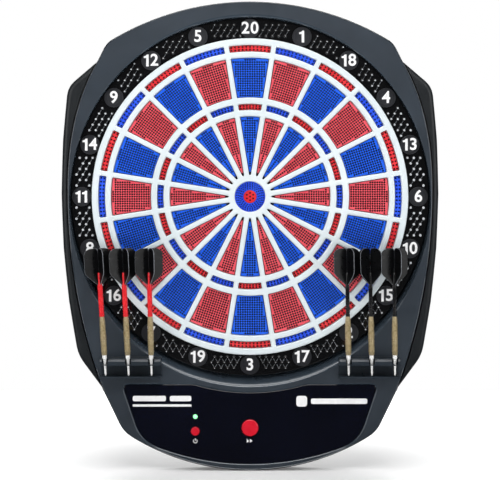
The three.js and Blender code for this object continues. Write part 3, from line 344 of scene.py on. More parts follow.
class Solid:
    """A closed mesh in the making. Each face carries the number of its finish."""

    def __init__(self):
        self.points = []
        self.faces = []
        self.finishes = []

    def loop(self, outline, depth):
        return self.ring([(p.x, depth, p.y) for p in outline])

    def ring(self, points):
        first = len(self.points)
        self.points += points
        return list(range(first, first + len(points)))

    def face(self, corners, finish=0):
        self.faces.append(corners)
        self.finishes.append(finish)

    def band(self, lower, upper, finish=0):
        for i in range(len(lower)):
            j = (i + 1) % len(lower)
            self.face((lower[i], lower[j], upper[j], upper[i]), finish)

    def stack(self, rings, finish=0):
        for lower, upper in zip(rings, rings[1:]):
            self.band(lower, upper, finish)

    def cap(self, outer, holes=(), finish=0):
        """Fills the flat face between a ring and the rings of the holes in it."""
        rings = [outer, *holes]
        order = [index for ring in rings for index in ring]
        flat = [at(self.points[i][0], self.points[i][2]) for i in order]
        edges, owner, start = [], [], 0
        for number, ring in enumerate(rings):
            edges += [(start + k, start + (k + 1) % len(ring)) for k in range(len(ring))]
            owner += [number] * len(ring)
            start += len(ring)
        outlines = [[at(self.points[i][0], self.points[i][2]) for i in ring] for ring in rings]
        made = delaunay_2d_cdt(flat, edges, [], 1, 1e-5)
        for triangle in made[2]:
            corners = [made[3][v][0] for v in triangle]
            rings_met = {owner[c] for c in corners}
            if len(rings_met) == 1 and 0 not in rings_met:
                centre = sum((flat[c] for c in corners), at(0, 0)) / 3
                if inside(outlines[rings_met.pop()], centre):
                    continue
            self.face([order[c] for c in corners], finish)

    def plate(self, outline, back, front, edge=0.5, holes=(), finish=0, steps=3, hole_steps=3, flange=None):
        """A plate with a rolled front edge. A hole is (outline, edge radius, floor depth or None, finish).
        A flange is (wider outline, the depth it goes down to, finish)."""
        rings = [self.loop(grown(outline, -inset), front - drop) for inset, drop in rolled(edge, steps)]
        rings.append(self.loop(outline, back))
        if flange is not None:
            brim = [rings[-1], self.loop(flange[0], back), self.loop(flange[0], flange[1])]
            self.stack(brim, flange[2])
        mouths, exits = [], []
        for hole, lip, floor, lining in holes:
            walls = [self.loop(grown(hole, inset), front - drop) for inset, drop in rolled(lip, hole_steps)]
            walls.append(self.loop(hole, back if floor is None else floor))
            self.stack(walls, lining)
            mouths.append(walls[0])
            if floor is None:
                exits.append(walls[-1])
            else:
                self.face(walls[-1], lining)
        self.stack(rings, finish)
        self.cap(rings[0], mouths, finish)
        self.cap(rings[-1] if flange is None else brim[-1], exits, finish)

    def hoop(self, profile, count, finish=0):
        """A closed (radius, depth) profile turned round the bull's axis."""
        rings = [self.loop(anticlockwise(circle(radius, count)), depth) for radius, depth in profile]
        self.stack([*rings, rings[0]], finish)

    def lathe(self, profile, count, place, finish=0):
        """Turns a closed profile of (radius, along) pairs that starts and ends on the axis."""
        rings = []
        for radius, along in profile[1:-1]:
            rings.append(self.ring([place(radius, TURN * i / count, along) for i in range(count)]))
        self.stack(rings, finish)
        for ring, end in ((rings[0], profile[0]), (rings[-1], profile[-1])):
            tip = self.ring([place(0, 0, end[1])])[0]
            for i in range(count):
                self.face((ring[i], ring[(i + 1) % count], tip), finish)

    def disc(self, profile, count, x=0.0, z=0.0, finish=0):
        """A turned shape on an axis towards the room, as (radius, depth) pairs."""

        def place(radius, angle, depth):
            return (x + radius * math.cos(angle), depth, z + radius * math.sin(angle))

        self.lathe([(0, profile[0][1]), *profile, (0, profile[-1][1])], count, place, finish)


def shaded(mesh, angle=35):
    """Smooth shading, but faces square to the room stay flat, so that rolled edges don't streak them."""
    if "custom_normal" in mesh.attributes:
        mesh.attributes.remove(mesh.attributes["custom_normal"])
    mesh.shade_smooth()
    mesh.set_sharp_from_angle(angle=math.radians(angle))
    for polygon in mesh.polygons:
        polygon.use_smooth = abs(polygon.normal.y) < 0.9999


def mesh_from(name, solid, finishes):
    """Turns a solid into a shaded mesh whose faces have their finishes."""
    mesh = bpy.data.meshes.new(name)
    points = [(x * MM, -depth * MM, z * MM) for x, depth, z in solid.points]
    mesh.from_pydata(points, [], solid.faces)
    for material in finishes:
        mesh.materials.append(material)
    mesh.polygons.foreach_set("material_index", solid.finishes)
    tidy = bmesh.new()
    tidy.from_mesh(mesh)
    bmesh.ops.recalc_face_normals(tidy, faces=tidy.faces)
    tidy.to_mesh(mesh)
    tidy.free()
    shaded(mesh)
    return mesh


def linked(name, data):
    """A new object in the scene for a mesh, a curve, a light or a camera."""
    made = bpy.data.objects.new(name, data)
    bpy.context.scene.collection.objects.link(made)
    return made


def evaluated_mesh(maker):
    """The mesh that an object's curve or modifiers make."""
    bpy.context.view_layer.update()
    graph = bpy.context.evaluated_depsgraph_get()
    return bpy.data.meshes.new_from_object(maker.evaluated_get(graph))


def in_one_finish(mesh, finish):
    """Gives every face of a mesh the same finish."""
    mesh.materials.clear()
    mesh.materials.append(finish)
    for polygon in mesh.polygons:
        polygon.material_index = 0


def show(name, mesh, body, slot=None, replaces=(), place=None):
    """Puts a mesh in the scene as a piece that rides on a body and may stand for CAD nodes."""
    piece = linked(name, mesh)
    if place is not None:
        piece.matrix_world = place
    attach(piece, body)
    if replaces:
        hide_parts(*replaces)
    return piece


# ---------------------------------------------------------------------------------------------------
# Finishes
# ---------------------------------------------------------------------------------------------------


def linear(code):
    """An sRGB hex colour as linear red, green, blue and alpha."""
    shares = [int(code[i : i + 2], 16) / 255 for i in (1, 3, 5)]
    return (*(s / 12.92 if s <= 0.04045 else ((s + 0.055) / 1.055) ** 2.4 for s in shares), 1.0)


def scale_of(size_mm):
    """The scale that draws a pattern's features about size_mm across, in the piece's own coordinates."""
    return 1000 / size_mm


def add(tree, kind, sockets=(), stops=(), **settings):
    """Adds a shader node with its settings. A socket takes a value, an output, or a node for its first
    output. A ramp's stops are (position, hex colour or grey level) pairs."""
    node = tree.nodes.new("ShaderNode" + kind)
    for name, value in settings.items():
        setattr(node, name, value)
    for name, value in dict(sockets).items():
        if isinstance(value, bpy.types.Node):
            value = value.outputs[0]
        if isinstance(value, bpy.types.NodeSocket):
            tree.links.new(value, node.inputs[name])
        else:
            node.inputs[name].default_value = value
    if stops:
        elements = node.color_ramp.elements
        while len(elements) < len(stops):
            elements.new(0.5)
        for element, (position, level) in zip(elements, stops):
            element.position = position
            element.color = linear(level) if isinstance(level, str) else (level, level, level, 1)
    return node


def started(name):
    """A new material, its empty node tree, and the piece's own coordinates for the patterns in it."""
    material = bpy.data.materials.new(name)
    material.use_nodes = True
    tree = material.node_tree
    tree.nodes.clear()
    return material, tree, add(tree, "TexCoord").outputs["Object"]


def finished(material, sockets):
    """Gives a material its shader. What is the same all over is a plain value on the shader's own socket."""
    tree = material.node_tree
    shader = add(tree, "BsdfPrincipled", sockets)
    add(tree, "OutputMaterial", {"Surface": shader})
    return material


def moulded(name, dark, light, gloss, grain_mm, grain_rise, blotch_mm=60, **constants):
    """Injection-moulded plastic: slow colour drift, a roughness that handling has varied, and mould grain."""
    material, tree, where = started(name)
    drift = add(
        tree, "TexNoise", {"Vector": where, "Scale": scale_of(blotch_mm), "Detail": 4.0, "Roughness": 0.55}
    )
    smear = add(tree, "TexNoise", {"Vector": where, "Scale": scale_of(18), "Detail": 5.0, "Roughness": 0.6})
    grain = add(
        tree, "TexNoise", {"Vector": where, "Scale": scale_of(grain_mm), "Detail": 2.0, "Roughness": 0.6}
    )
    sockets = {key.replace("_", " "): value for key, value in constants.items()}
    sockets["Base Color"] = add(tree, "ValToRGB", {"Fac": drift}, [(0.3, dark), (0.7, light)])
    sockets["Roughness"] = add(tree, "ValToRGB", {"Fac": smear}, [(0.3, gloss[0]), (0.75, gloss[1])])
    sockets["Normal"] = add(tree, "Bump", {"Height": grain, "Distance": grain_rise * MM})
    return finished(material, sockets)


# Bezel: ABS moulded in a spark-eroded tool. Satin, slate grey, with a grain drawn at 0.9 mm so that it shows.
BEZEL_ABS = moulded(
    "spark_eroded_slate_abs", "#2c333b", "#363e47", (0.32, 0.42), 0.9, 0.035, Coat_Weight=0.15
)
# Lips and beads of the bezel: the same ABS from a polished part of the tool, so they carry a bright line.
LIP_ABS = moulded("polished_slate_abs", "#333c45", "#3d4751", (0.14, 0.22), 4, 0.004, Coat_Weight=1.0)
# Housing: the same ABS, darker and a little coarser, so the wings look duller than the bezel.
HOUSING_ABS = moulded("spark_eroded_charcoal_abs", "#15181b", "#1c2023", (0.36, 0.46), 1.1, 0.04)
# Catch ring: high-gloss black ABS, so each pip carries a small sharp reflection.
CATCH_ABS = moulded("polished_black_abs", "#070708", "#0c0c0e", (0.14, 0.22), 3, 0.004, Coat_Weight=0.5)
# Pip crowns: the same plastic, shiny, and painted pale: a painted glint where the side lights would reflect.
PAINTED_GLINT_ABS = moulded("pale_abs_painted_glint", "#a9adb2", "#d5d8dc", (0.16, 0.26), 3, 0.004, 12, Coat_Weight=0.8)
# Ridges between the pips: painted grey as a painted sheen, so they show as thin grey lines.
RIDGE_PAINTED_SHEEN_ABS = moulded("grey_abs_painted_sheen", "#4c4f54", "#8e9298", (0.16, 0.26), 3, 0.004, 20, Coat_Weight=1.0)
# Number discs: the same black ABS, blasted dull, so they read as dark grey.
DISC_ABS = moulded("blasted_grey_abs", "#222327", "#2c2d31", (0.34, 0.42), 0.8, 0.02)
# Spider: white high-impact polystyrene, satin, very slightly cold.
SPIDER_STYRENE = moulded("satin_white_polystyrene", "#d6e0e4", "#e2eaed", (0.28, 0.38), 1.5, 0.006, 90)
# Segments: self-coloured polypropylene; dart points have dulled the ribs here and there.
BLUE_PP = moulded("blue_polypropylene", "#0c55dc", "#1766f0", (0.34, 0.46), 1.2, 0.01, 25)
RED_PP = moulded("red_polypropylene", "#de4655", "#f05e6a", (0.34, 0.46), 1.2, 0.01, 25)
# Doubles, trebles and bulls: a deeper shade, with a little more shine on their narrow ribs.
DEEP_BLUE_PP = moulded("deep_blue_polypropylene", "#1f45d8", "#3160f4", (0.28, 0.38), 1.2, 0.01, 25)
DEEP_RED_PP = moulded("deep_red_polypropylene", "#cf1f2a", "#ee3c42", (0.28, 0.38), 1.2, 0.01, 25)
# Hole walls and flanges: the same plastic, darkened as painted shade, so the lattice reads dark.
BLUE_PAINTED_SHADE = moulded("blue_polypropylene_painted_shade", "#071a4a", "#0b2462", (0.6, 0.75), 1.2, 0.01, 25)
RED_PAINTED_SHADE = moulded("red_polypropylene_painted_shade", "#3a0f16", "#4c141c", (0.6, 0.75), 1.2, 0.01, 25)
# Racks: dark ABS with the bezel's grain, a little shinier where darts rub it.
RACK_ABS = moulded("spark_eroded_dark_abs", "#20272e", "#2a323a", (0.26, 0.38), 0.9, 0.03, Coat_Weight=0.2)
# Buttons: red acetal, polished, with a soft bright rim.
BUTTON_ACETAL = moulded(
    "polished_red_acetal", "#d8102a", "#ee2038", (0.16, 0.24), 2, 0.003, 12, Subsurface_Weight=0.15,
    Subsurface_Scale=0.002, Coat_Weight=0.4,
)
# Switches: matt black glass-filled nylon.
SWITCH_NYLON = moulded("glass_filled_black_nylon", "#0f0f10", "#1a1a1c", (0.5, 0.62), 0.7, 0.02)
# Dart tips: white nylon with a waxy coat.
TIP_NYLON = moulded(
    "moulded_white_nylon", "#eeeeec", "#fafaf8", (0.3, 0.4), 1, 0.004, 10, Coat_Weight=0.3,
)
# Dart shafts: dyed nylon with a waxy shine.
RED_SHAFT_NYLON = moulded("moulded_red_nylon", "#d2121e", "#e8242c", (0.22, 0.32), 2, 0.004, 10)
BLACK_SHAFT_NYLON = moulded("moulded_black_nylon", "#0a0a0b", "#121214", (0.22, 0.32), 2, 0.004, 10)
# Edge of the flights: the clear layer, cut through, scatters light and looks pale.
CUT_EDGE = moulded("cut_clear_film", "#5c5f64", "#85898f", (0.3, 0.45), 1, 0.004, 6)
# White print: pad-printed ink, flat and slightly uneven.
PRINT_INK = moulded("pad_printed_white_ink", "#f0f0f0", "#fbfbfb", (0.45, 0.6), 0.8, 0.004, 8)
# Leads: soft PVC with a slight bloom.
RED_PVC = moulded("extruded_red_pvc", "#a01414", "#b81c1c", (0.38, 0.5), 1, 0.006, 10)
BLACK_PVC = moulded("extruded_black_pvc", "#101010", "#191919", (0.38, 0.5), 1, 0.006, 10)


def panel_acrylic():
    """Piano-black acrylic: a near-perfect mirror coat over black, with faint wiping marks."""
    material, tree, where = started("back_painted_black_acrylic")
    drift = add(tree, "TexNoise", {"Vector": where, "Scale": scale_of(70), "Detail": 3.0})
    wiped = add(tree, "Mapping", {"Vector": where, "Scale": (0.25, 1, 1)})
    marks = add(tree, "TexNoise", {"Vector": wiped, "Scale": scale_of(14), "Detail": 6.0, "Roughness": 0.7})
    ripple = add(tree, "TexNoise", {"Vector": where, "Scale": scale_of(40), "Detail": 2.0})
    return finished(material, {
        "Base Color": add(tree, "ValToRGB", {"Fac": drift}, [(0.3, "#030410"), (0.7, "#050716")]),
        "Roughness": add(tree, "ValToRGB", {"Fac": marks}, [(0.35, 0.05), (0.8, 0.16)]),
        "Normal": add(tree, "Bump", {"Height": ripple, "Distance": 0.004 * MM}),
        "Coat Weight": 1.0,
        "Coat Roughness": 0.03,
        "IOR": 1.49,
        "Specular IOR Level": 0.35,
    })


def flight_film():
    """Laminated polyester film: black print under a clear layer, faintly rippled where it was heat-folded."""
    material, tree, where = started("laminated_black_film")
    print_drift = add(tree, "TexNoise", {"Vector": where, "Scale": scale_of(9), "Detail": 3.0})
    scuffs = add(tree, "TexNoise", {"Vector": where, "Scale": scale_of(5), "Detail": 4.0})
    upright = add(tree, "Mapping", {"Vector": where, "Scale": (1, 1, 0.35)})
    ripple = add(tree, "TexNoise", {"Vector": upright, "Scale": scale_of(7), "Detail": 2.0, "Roughness": 0.4})
    return finished(material, {
        "Base Color": add(tree, "ValToRGB", {"Fac": print_drift}, [(0.3, "#050506"), (0.75, "#0b0c0e")]),
        "Roughness": add(tree, "ValToRGB", {"Fac": scuffs}, [(0.3, 0.25), (0.75, 0.42)]),
        "Normal": add(tree, "Bump", {"Height": ripple, "Distance": 0.12 * MM}),
        "Coat Weight": 0.15,
        "Coat Roughness": 0.2,
        "Specular IOR Level": 0.3,
    })


def turned_brass():
    """Turned and knurled brass with a lacquer that has dulled in the grooves."""
    material, tree, where = started("knurled_brass")
    tarnish = add(tree, "TexNoise", {"Vector": where, "Scale": scale_of(6), "Detail": 5.0, "Roughness": 0.65})
    round_it = add(tree, "Mapping", {"Vector": where, "Scale": (1, 1, 6)})
    tooling = add(
        tree, "TexNoise", {"Vector": round_it, "Scale": scale_of(0.6), "Detail": 2.0, "Roughness": 0.6}
    )
    stops = [(0.28, "#b8a478"), (0.5, "#dccba2"), (0.78, "#f2e6c6")]
    return finished(material, {
        "Base Color": add(tree, "ValToRGB", {"Fac": tarnish}, stops),
        "Roughness": add(tree, "ValToRGB", {"Fac": tarnish}, [(0.3, 0.6), (0.8, 0.42)]),
        "Normal": add(tree, "Bump", {"Height": tooling, "Distance": 0.02 * MM}),
        "Metallic": 0.85,
    })


def plated(name, dark, light, gloss, grain_mm):
    """Plated steel: bright, with short drawing marks and slightly cloudy patches."""
    material, tree, where = started(name)
    cloud = add(tree, "TexNoise", {"Vector": where, "Scale": scale_of(4), "Detail": 4.0})
    drawn = add(tree, "Mapping", {"Vector": where, "Scale": (1, 6, 1)})
    marks = add(tree, "TexNoise", {"Vector": drawn, "Scale": scale_of(grain_mm), "Detail": 2.0})
    return finished(material, {
        "Base Color": add(tree, "ValToRGB", {"Fac": cloud}, [(0.3, dark), (0.7, light)]),
        "Roughness": add(tree, "ValToRGB", {"Fac": cloud}, [(0.3, gloss[0]), (0.7, gloss[1])]),
        "Normal": add(tree, "Bump", {"Height": marks, "Distance": 0.008 * MM}),
        "Metallic": 1.0,
    })


def led_resin():
    """A resin light pipe, lit green from behind: pale green in the middle and saturated at the rim."""
    material, tree, _ = started("lit_green_resin")
    facing = add(tree, "LayerWeight", {"Blend": 0.45}).outputs["Facing"]
    stops = [(0.0, "#b4ffc8"), (0.4, "#3dff80"), (0.9, "#08a83a")]
    return finished(material, {
        "Base Color": linear("#2a8a48"),
        "Roughness": 0.12,
        "Emission Color": add(tree, "ValToRGB", {"Fac": facing}, stops),
        "Emission Strength": 1.6,
        "Coat Weight": 0.6,
    })


def sheet_rubber():
    """Calendered rubber sheet: dull black, dusted with talc, with the roller's faint lines."""
    material, tree, where = started("calendered_rubber")
    talc = add(tree, "TexNoise", {"Vector": where, "Scale": scale_of(30), "Detail": 6.0, "Roughness": 0.7})
    rolled_way = add(tree, "Mapping", {"Vector": where, "Scale": (8, 1, 1)})
    lines = add(tree, "TexNoise", {"Vector": rolled_way, "Scale": scale_of(2), "Detail": 3.0})
    return finished(material, {
        "Base Color": add(tree, "ValToRGB", {"Fac": talc}, [(0.35, "#161616"), (0.8, "#2c2b2a")]),
        "Roughness": add(tree, "ValToRGB", {"Fac": talc}, [(0.3, 0.75), (0.8, 0.92)]),
        "Normal": add(tree, "Bump", {"Height": lines, "Distance": 0.05 * MM}),
        "Specular IOR Level": 0.3,
    })


def printed_film():
    """Polyester film with silver tracks screen-printed in rings, 5.65 mm apart, on the amber carrier."""
    material, tree, where = started("screen_printed_polyester_film")
    ring_share = TURN / 20  # a wave repeats at this share of one unit
    rings = {"Vector": where, "Scale": ring_share * scale_of(5.65)}
    tracks = add(tree, "TexWave", rings, wave_type="RINGS", rings_direction="Y").outputs["Fac"]
    smear = add(tree, "TexNoise", {"Vector": where, "Scale": scale_of(15), "Detail": 4.0})
    stops = [(0.0, "#b98a34"), (0.78, "#c79a42"), (0.82, "#b9b7b0"), (1.0, "#cfcdc6")]
    return finished(material, {
        "Base Color": add(tree, "ValToRGB", {"Fac": tracks}, stops),
        "Roughness": add(tree, "ValToRGB", {"Fac": smear}, [(0.3, 0.28), (0.8, 0.45)]),
        "Normal": add(tree, "Bump", {"Height": tracks, "Distance": 0.02 * MM}),
        "Coat Weight": 0.4,
    })


def pressed_hardboard():
    """Wet-pressed wood fibre: brown and flecked, with fibres a few millimetres long."""
    material, tree, where = started("pressed_hardboard")
    felted = add(tree, "Mapping", {"Vector": where, "Scale": (1, 1, 0.4)})
    fibre = add(
        tree, "TexNoise", {"Vector": felted, "Scale": scale_of(1.6), "Detail": 6.0, "Roughness": 0.75}
    )
    stops = [(0.25, "#4c3320"), (0.5, "#7a583a"), (0.8, "#9c7a55")]
    return finished(material, {
        "Base Color": add(tree, "ValToRGB", {"Fac": fibre}, stops),
        "Roughness": add(tree, "ValToRGB", {"Fac": fibre}, [(0.3, 0.8), (0.8, 0.62)]),
        "Normal": add(tree, "Bump", {"Height": fibre, "Distance": 0.12 * MM}),
        "Specular IOR Level": 0.3,
    })


def circuit_laminate():
    """Glass-epoxy laminate under green solder resist, with paler tracks on a 3 by 1.5 mm grid."""
    material, tree, where = started("solder_resist_on_glass_epoxy")
    grid = add(tree, "TexBrick", {"Vector": where, "Scale": scale_of(6), "Mortar Size": 0.06}).outputs["Fac"]
    tracks = add(tree, "ValToRGB", {"Fac": grid}, [(0.3, "#0d4a26"), (0.7, "#2a7a45")])
    cloud = add(tree, "TexNoise", {"Vector": where, "Scale": scale_of(3), "Detail": 4.0})
    resist = add(tree, "ValToRGB", {"Fac": cloud}, [(0.3, "#0a3a1e"), (0.8, "#145a30")])
    both = add(tree, "Mix", {"Factor": 0.35, "A": tracks, "B": resist}, data_type="RGBA")
    smear = add(tree, "TexNoise", {"Vector": where, "Scale": scale_of(8), "Detail": 3.0})
    weave = add(tree, "TexNoise", {"Vector": where, "Scale": scale_of(0.9), "Detail": 1.0})
    return finished(material, {
        "Base Color": both.outputs["Result"],
        "Roughness": add(tree, "ValToRGB", {"Fac": smear}, [(0.3, 0.3), (0.8, 0.45)]),
        "Normal": add(tree, "Bump", {"Height": weave, "Distance": 0.02 * MM}),
        "Coat Weight": 0.5,
        "Coat Roughness": 0.2,
    })


def cell_wrap():
    """A dark shrink sleeve, glossy and slightly cloudy, tight over the steel can."""
    material, tree, where = started("shrink_sleeve")
    cloud = add(tree, "TexNoise", {"Vector": where, "Scale": scale_of(20), "Detail": 4.0})
    rub = add(tree, "TexNoise", {"Vector": where, "Scale": scale_of(6), "Detail": 4.0})
    ripple = add(tree, "TexNoise", {"Vector": where, "Scale": scale_of(10), "Detail": 2.0})
    return finished(material, {
        "Base Color": add(tree, "ValToRGB", {"Fac": cloud}, [(0.3, "#23272f"), (0.7, "#343a45")]),
        "Roughness": add(tree, "ValToRGB", {"Fac": rub}, [(0.3, 0.22), (0.8, 0.4)]),
        "Normal": add(tree, "Bump", {"Height": ripple, "Distance": 0.02 * MM}),
        "Coat Weight": 0.6,
        "Coat Roughness": 0.15,
    })


def seamless_paper():
    """Studio paper that glows with painted light, more the farther it lies from the object, so that it fades
    into the white surround.
    """
    material, tree, where = started("seamless_paper")
    away = add(tree, "VectorMath", {"Vector": where}, operation="LENGTH").outputs["Value"]
    cloud = add(tree, "TexNoise", {"Vector": where, "Scale": scale_of(300), "Detail": 3.0})
    tooth = add(tree, "TexNoise", {"Vector": where, "Scale": scale_of(2), "Detail": 3.0})
    return finished(material, {
        "Base Color": add(tree, "ValToRGB", {"Fac": cloud}, [(0.3, "#e6e6e6"), (0.7, "#eeeeee")]),
        "Roughness": add(tree, "ValToRGB", {"Fac": tooth}, [(0.3, 0.75), (0.7, 0.9)]),
        "Emission Color": linear("#ffffff"),
        # Painted light: the glow is weakest near the board, where its shadow falls, and full beyond.
        "Emission Strength": add(tree, "ValToRGB", {"Fac": away}, [(0.4, 0.14), (0.62, 1.0)]),
    })


PANEL_ACRYLIC = panel_acrylic()
FLIGHT_FILM = flight_film()
BRASS = turned_brass()
ZINC_STEEL = plated("zinc_plated_steel", "#8d9196", "#b6babf", (0.28, 0.4), 0.8)
NICKEL_STEEL = plated("nickel_plated_steel", "#b9b5aa", "#d8d4c8", (0.18, 0.3), 0.6)
LED_RESIN = led_resin()
RUBBER = sheet_rubber()
FILM = printed_film()
HARDBOARD = pressed_hardboard()
CIRCUIT = circuit_laminate()
CELL_WRAP = cell_wrap()


# ---------------------------------------------------------------------------------------------------
# Target
# ---------------------------------------------------------------------------------------------------

HOLE_SIDES = 8
HOLE_DEPTH = 8
SINGLE_HOLE = {"pitch": 3.08, "bore": 1.08, "lip": 0.27}
BAND_HOLE = {"bore": 1.05, "lip": 0.25}
BULL_HOLE = {"bore": 0.8, "lip": 0.22}
SEGMENT_ROLL = 0.2
SHADOW_GAP = 0.95
HOLE_MARGIN = 0.08
SEGMENT_TIP_RADIUS = 31.5
BAND_COLUMNS = {"double": 11, "treble": 7}


def hole(x, z, size):
    """A blind dart hole in a segment's face, as a plate takes it. Its lining takes finish 1, painted shade.
    """
    return (anticlockwise(circle(size["bore"], HOLE_SIDES, x, z)), size["lip"], SEGMENT_FACE - HOLE_DEPTH, 1)


def lattice_holes(inner, outer):
    """A square lattice along the sector's own axis, kept clear of the segment's edges."""
    pitch = SINGLE_HOLE["pitch"]
    clear = SINGLE_HOLE["bore"] + SINGLE_HOLE["lip"] + SEGMENT_ROLL + HOLE_MARGIN
    half = math.pi / SECTORS
    rows = int((outer - inner - 2 * SHADOW_GAP - 2 * clear) / pitch) + 1
    first = (inner + outer) / 2 - (rows - 1) / 2 * pitch
    holes = []
    for row in range(-1, rows + 1):
        for column in range(-9, 10):
            x, z = column * pitch, first + row * pitch
            reach = math.hypot(x, z)
            to_spoke = z * math.sin(half) - abs(x) * math.cos(half) - SPOKE_WIDTH / 2 - SHADOW_GAP
            if inner + SHADOW_GAP + clear < reach < outer - SHADOW_GAP - clear and to_spoke > clear:
                holes.append(hole(x, z, SINGLE_HOLE))
    return holes


def band_holes(inner, outer, columns):
    """Two staggered rows of larger holes that leave bright lozenges between them."""
    middle = (inner + outer) / 2
    clear = SHADOW_GAP + BAND_HOLE["bore"] + BAND_HOLE["lip"] + SEGMENT_ROLL + HOLE_MARGIN
    reach = math.pi / SECTORS - math.asin((SPOKE_WIDTH / 2 + clear + 0.2) / middle)
    spread = (outer - inner) / 2 - clear
    holes = []
    for column in range(columns):
        angle = -reach + 2 * reach * column / (columns - 1)
        for side in (-1, 1):
            spot = polar(middle + side * spread, angle)
            holes.append(hole(spot.x, spot.y, BAND_HOLE))
    return holes


def segment_solid(kind):
    """One segment at twelve o'clock: its perforated block, and the flange that the spider holds back, in
    painted shade.
    """
    inner, outer = BANDS[kind]
    columns = BAND_COLUMNS.get(kind)
    holes = lattice_holes(inner, outer) if columns is None else band_holes(inner, outer, columns)
    inner_end = max(inner, SEGMENT_TIP_RADIUS)
    outline = softened(wedge(inner_end, outer, SHADOW_GAP), 1.0)
    flange = softened(wedge(inner, outer, -1.5), 1.0)
    solid = Solid()
    solid.plate(
        outline, CARRIER_FRONT, SEGMENT_FACE, SEGMENT_ROLL, holes, hole_steps=1,
        flange=(flange, CARRIER_BACK, 1),
    )
    return solid


def build_segments():
    """Four perforated segments a number. Neighbouring numbers swap colours."""
    solids = {kind: segment_solid(kind) for kind in BANDS}
    for i, number in enumerate(NUMBER_ORDER):
        turn = Matrix.Rotation(TURN * i / SECTORS, 4, "Y")
        for kind, solid in solids.items():
            single = kind in ("outer_single", "inner_single")
            blue = single == (i % 2 == 0)
            finish = (BLUE_PP if single else DEEP_BLUE_PP) if blue else (RED_PP if single else DEEP_RED_PP)
            key = f"{kind}_{'blue' if blue else 'red'}"
            # The second finish is painted shade, for the hole linings and the flanges.
            shade = BLUE_PAINTED_SHADE if blue else RED_PAINTED_SHADE
            mesh = bpy.data.meshes.get(key) or mesh_from(key, solid, [finish, shade])
            node = f"scoring_{number:02d}"
            stands_for = [node] if kind == "outer_single" else []
            slot = "segment_blue" if blue else "segment_red"
            show(f"{kind}_{number:02d}", mesh, node, slot, stands_for, turn)


def build_bulls():
    """The outer bull, a perforated ring, and the inner bull that slides in it."""
    ring_radius = BULL_OUTER - SEGMENT_GAP
    ring_back = CARRIER_FRONT + 1.1
    throat_radius = BULL_INNER + 2.3
    flange_radius = ring_radius + 2.5
    ring_holes = []
    for radius, count in ((10.7, 20), (13.0, 25), (15.3, 30), (17.6, 34)):
        for i in range(count):
            spot = polar(radius, TURN * i / count)
            ring_holes.append(hole(spot.x, spot.y, BULL_HOLE))
    centre = (anticlockwise(circle(BULL_INNER, 48)), 0.4, None, 0)
    outer = Solid()
    outline = anticlockwise(circle(ring_radius, 64))
    outer.plate(outline, ring_back, SEGMENT_FACE, 0.5, [centre, *ring_holes], hole_steps=1)
    outer.hoop(
        [(throat_radius, ring_back), (ring_radius, ring_back), (ring_radius, CARRIER_FRONT),
         (flange_radius, CARRIER_FRONT), (flange_radius, CARRIER_BACK), (throat_radius, CARRIER_BACK)],
        64,
    )
    # The second finish is painted shade for the hole linings.
    mesh = mesh_from("outer_bull", outer, [DEEP_BLUE_PP, BLUE_PAINTED_SHADE])
    show("outer_bull", mesh, "bull_outer", "segment_blue", ["bull_outer"])

    radius = BULL_INNER - SEGMENT_GAP
    inner_holes = [hole(0, 0, BAND_HOLE)]
    for i in range(6):
        spot = polar(4.7, TURN * i / 6)
        inner_holes.append(hole(spot.x, spot.y, BAND_HOLE))
    inner = Solid()
    inner.plate(
        anticlockwise(circle(radius, 48)), CARRIER_BACK + 1.4, SEGMENT_FACE, 0.5, inner_holes, hole_steps=1,
        flange=(anticlockwise(circle(radius + 2.2, 48)), CARRIER_BACK, 1),
    )
    # The second finish is painted shade for the hole linings and the flange.
    mesh = mesh_from("inner_bull", inner, [DEEP_RED_PP, RED_PAINTED_SHADE])
    show("inner_bull", mesh, "bull_inner", "segment_red", ["bull_inner"])


def build_spider():
    """White bars with rolled edges round 81 windows, a flange behind the catch ring, and a skirt."""
    windows = [(anticlockwise(circle(BULL_OUTER, 64)), 1.4, None, 0)]
    for i in range(SECTORS):
        for inner, outer in BANDS.values():
            outline = softened(wedge(inner, outer, 0), 1.4)
            windows.append((turned_by(outline, TURN * i / SECTORS), 1.9, None, 0))
    solid = Solid()
    solid.plate(anticlockwise(circle(SPIDER_RADIUS, 200)), SPIDER_BACK, SPIDER_FACE, 1.8, windows)
    flange_front = CATCH_FACE - WALL - 0.3
    flange_back = flange_front - 2.4
    flange_inner, flange_outer = SPIDER_RADIUS - 1, SPIDER_RADIUS + 3.5
    solid.hoop(
        [(flange_inner, flange_back), (flange_outer, flange_back), (flange_outer, flange_front),
         (flange_inner, flange_front)],
        200,
    )
    skirt_inner = DOUBLE_OUTER + 3.3
    solid.hoop(
        [(skirt_inner, SPIDER_SKIRT_BACK), (SPIDER_RADIUS, SPIDER_SKIRT_BACK), (SPIDER_RADIUS, SPIDER_BACK),
         (skirt_inner, SPIDER_BACK)],
        200,
    )
    mesh = mesh_from("spider_grid", solid, [SPIDER_STYRENE])
    show("spider_grid", mesh, "cabinet", "spider_white", ["spider"])


# ---------------------------------------------------------------------------------------------------
# Catch ring and numbers
# ---------------------------------------------------------------------------------------------------

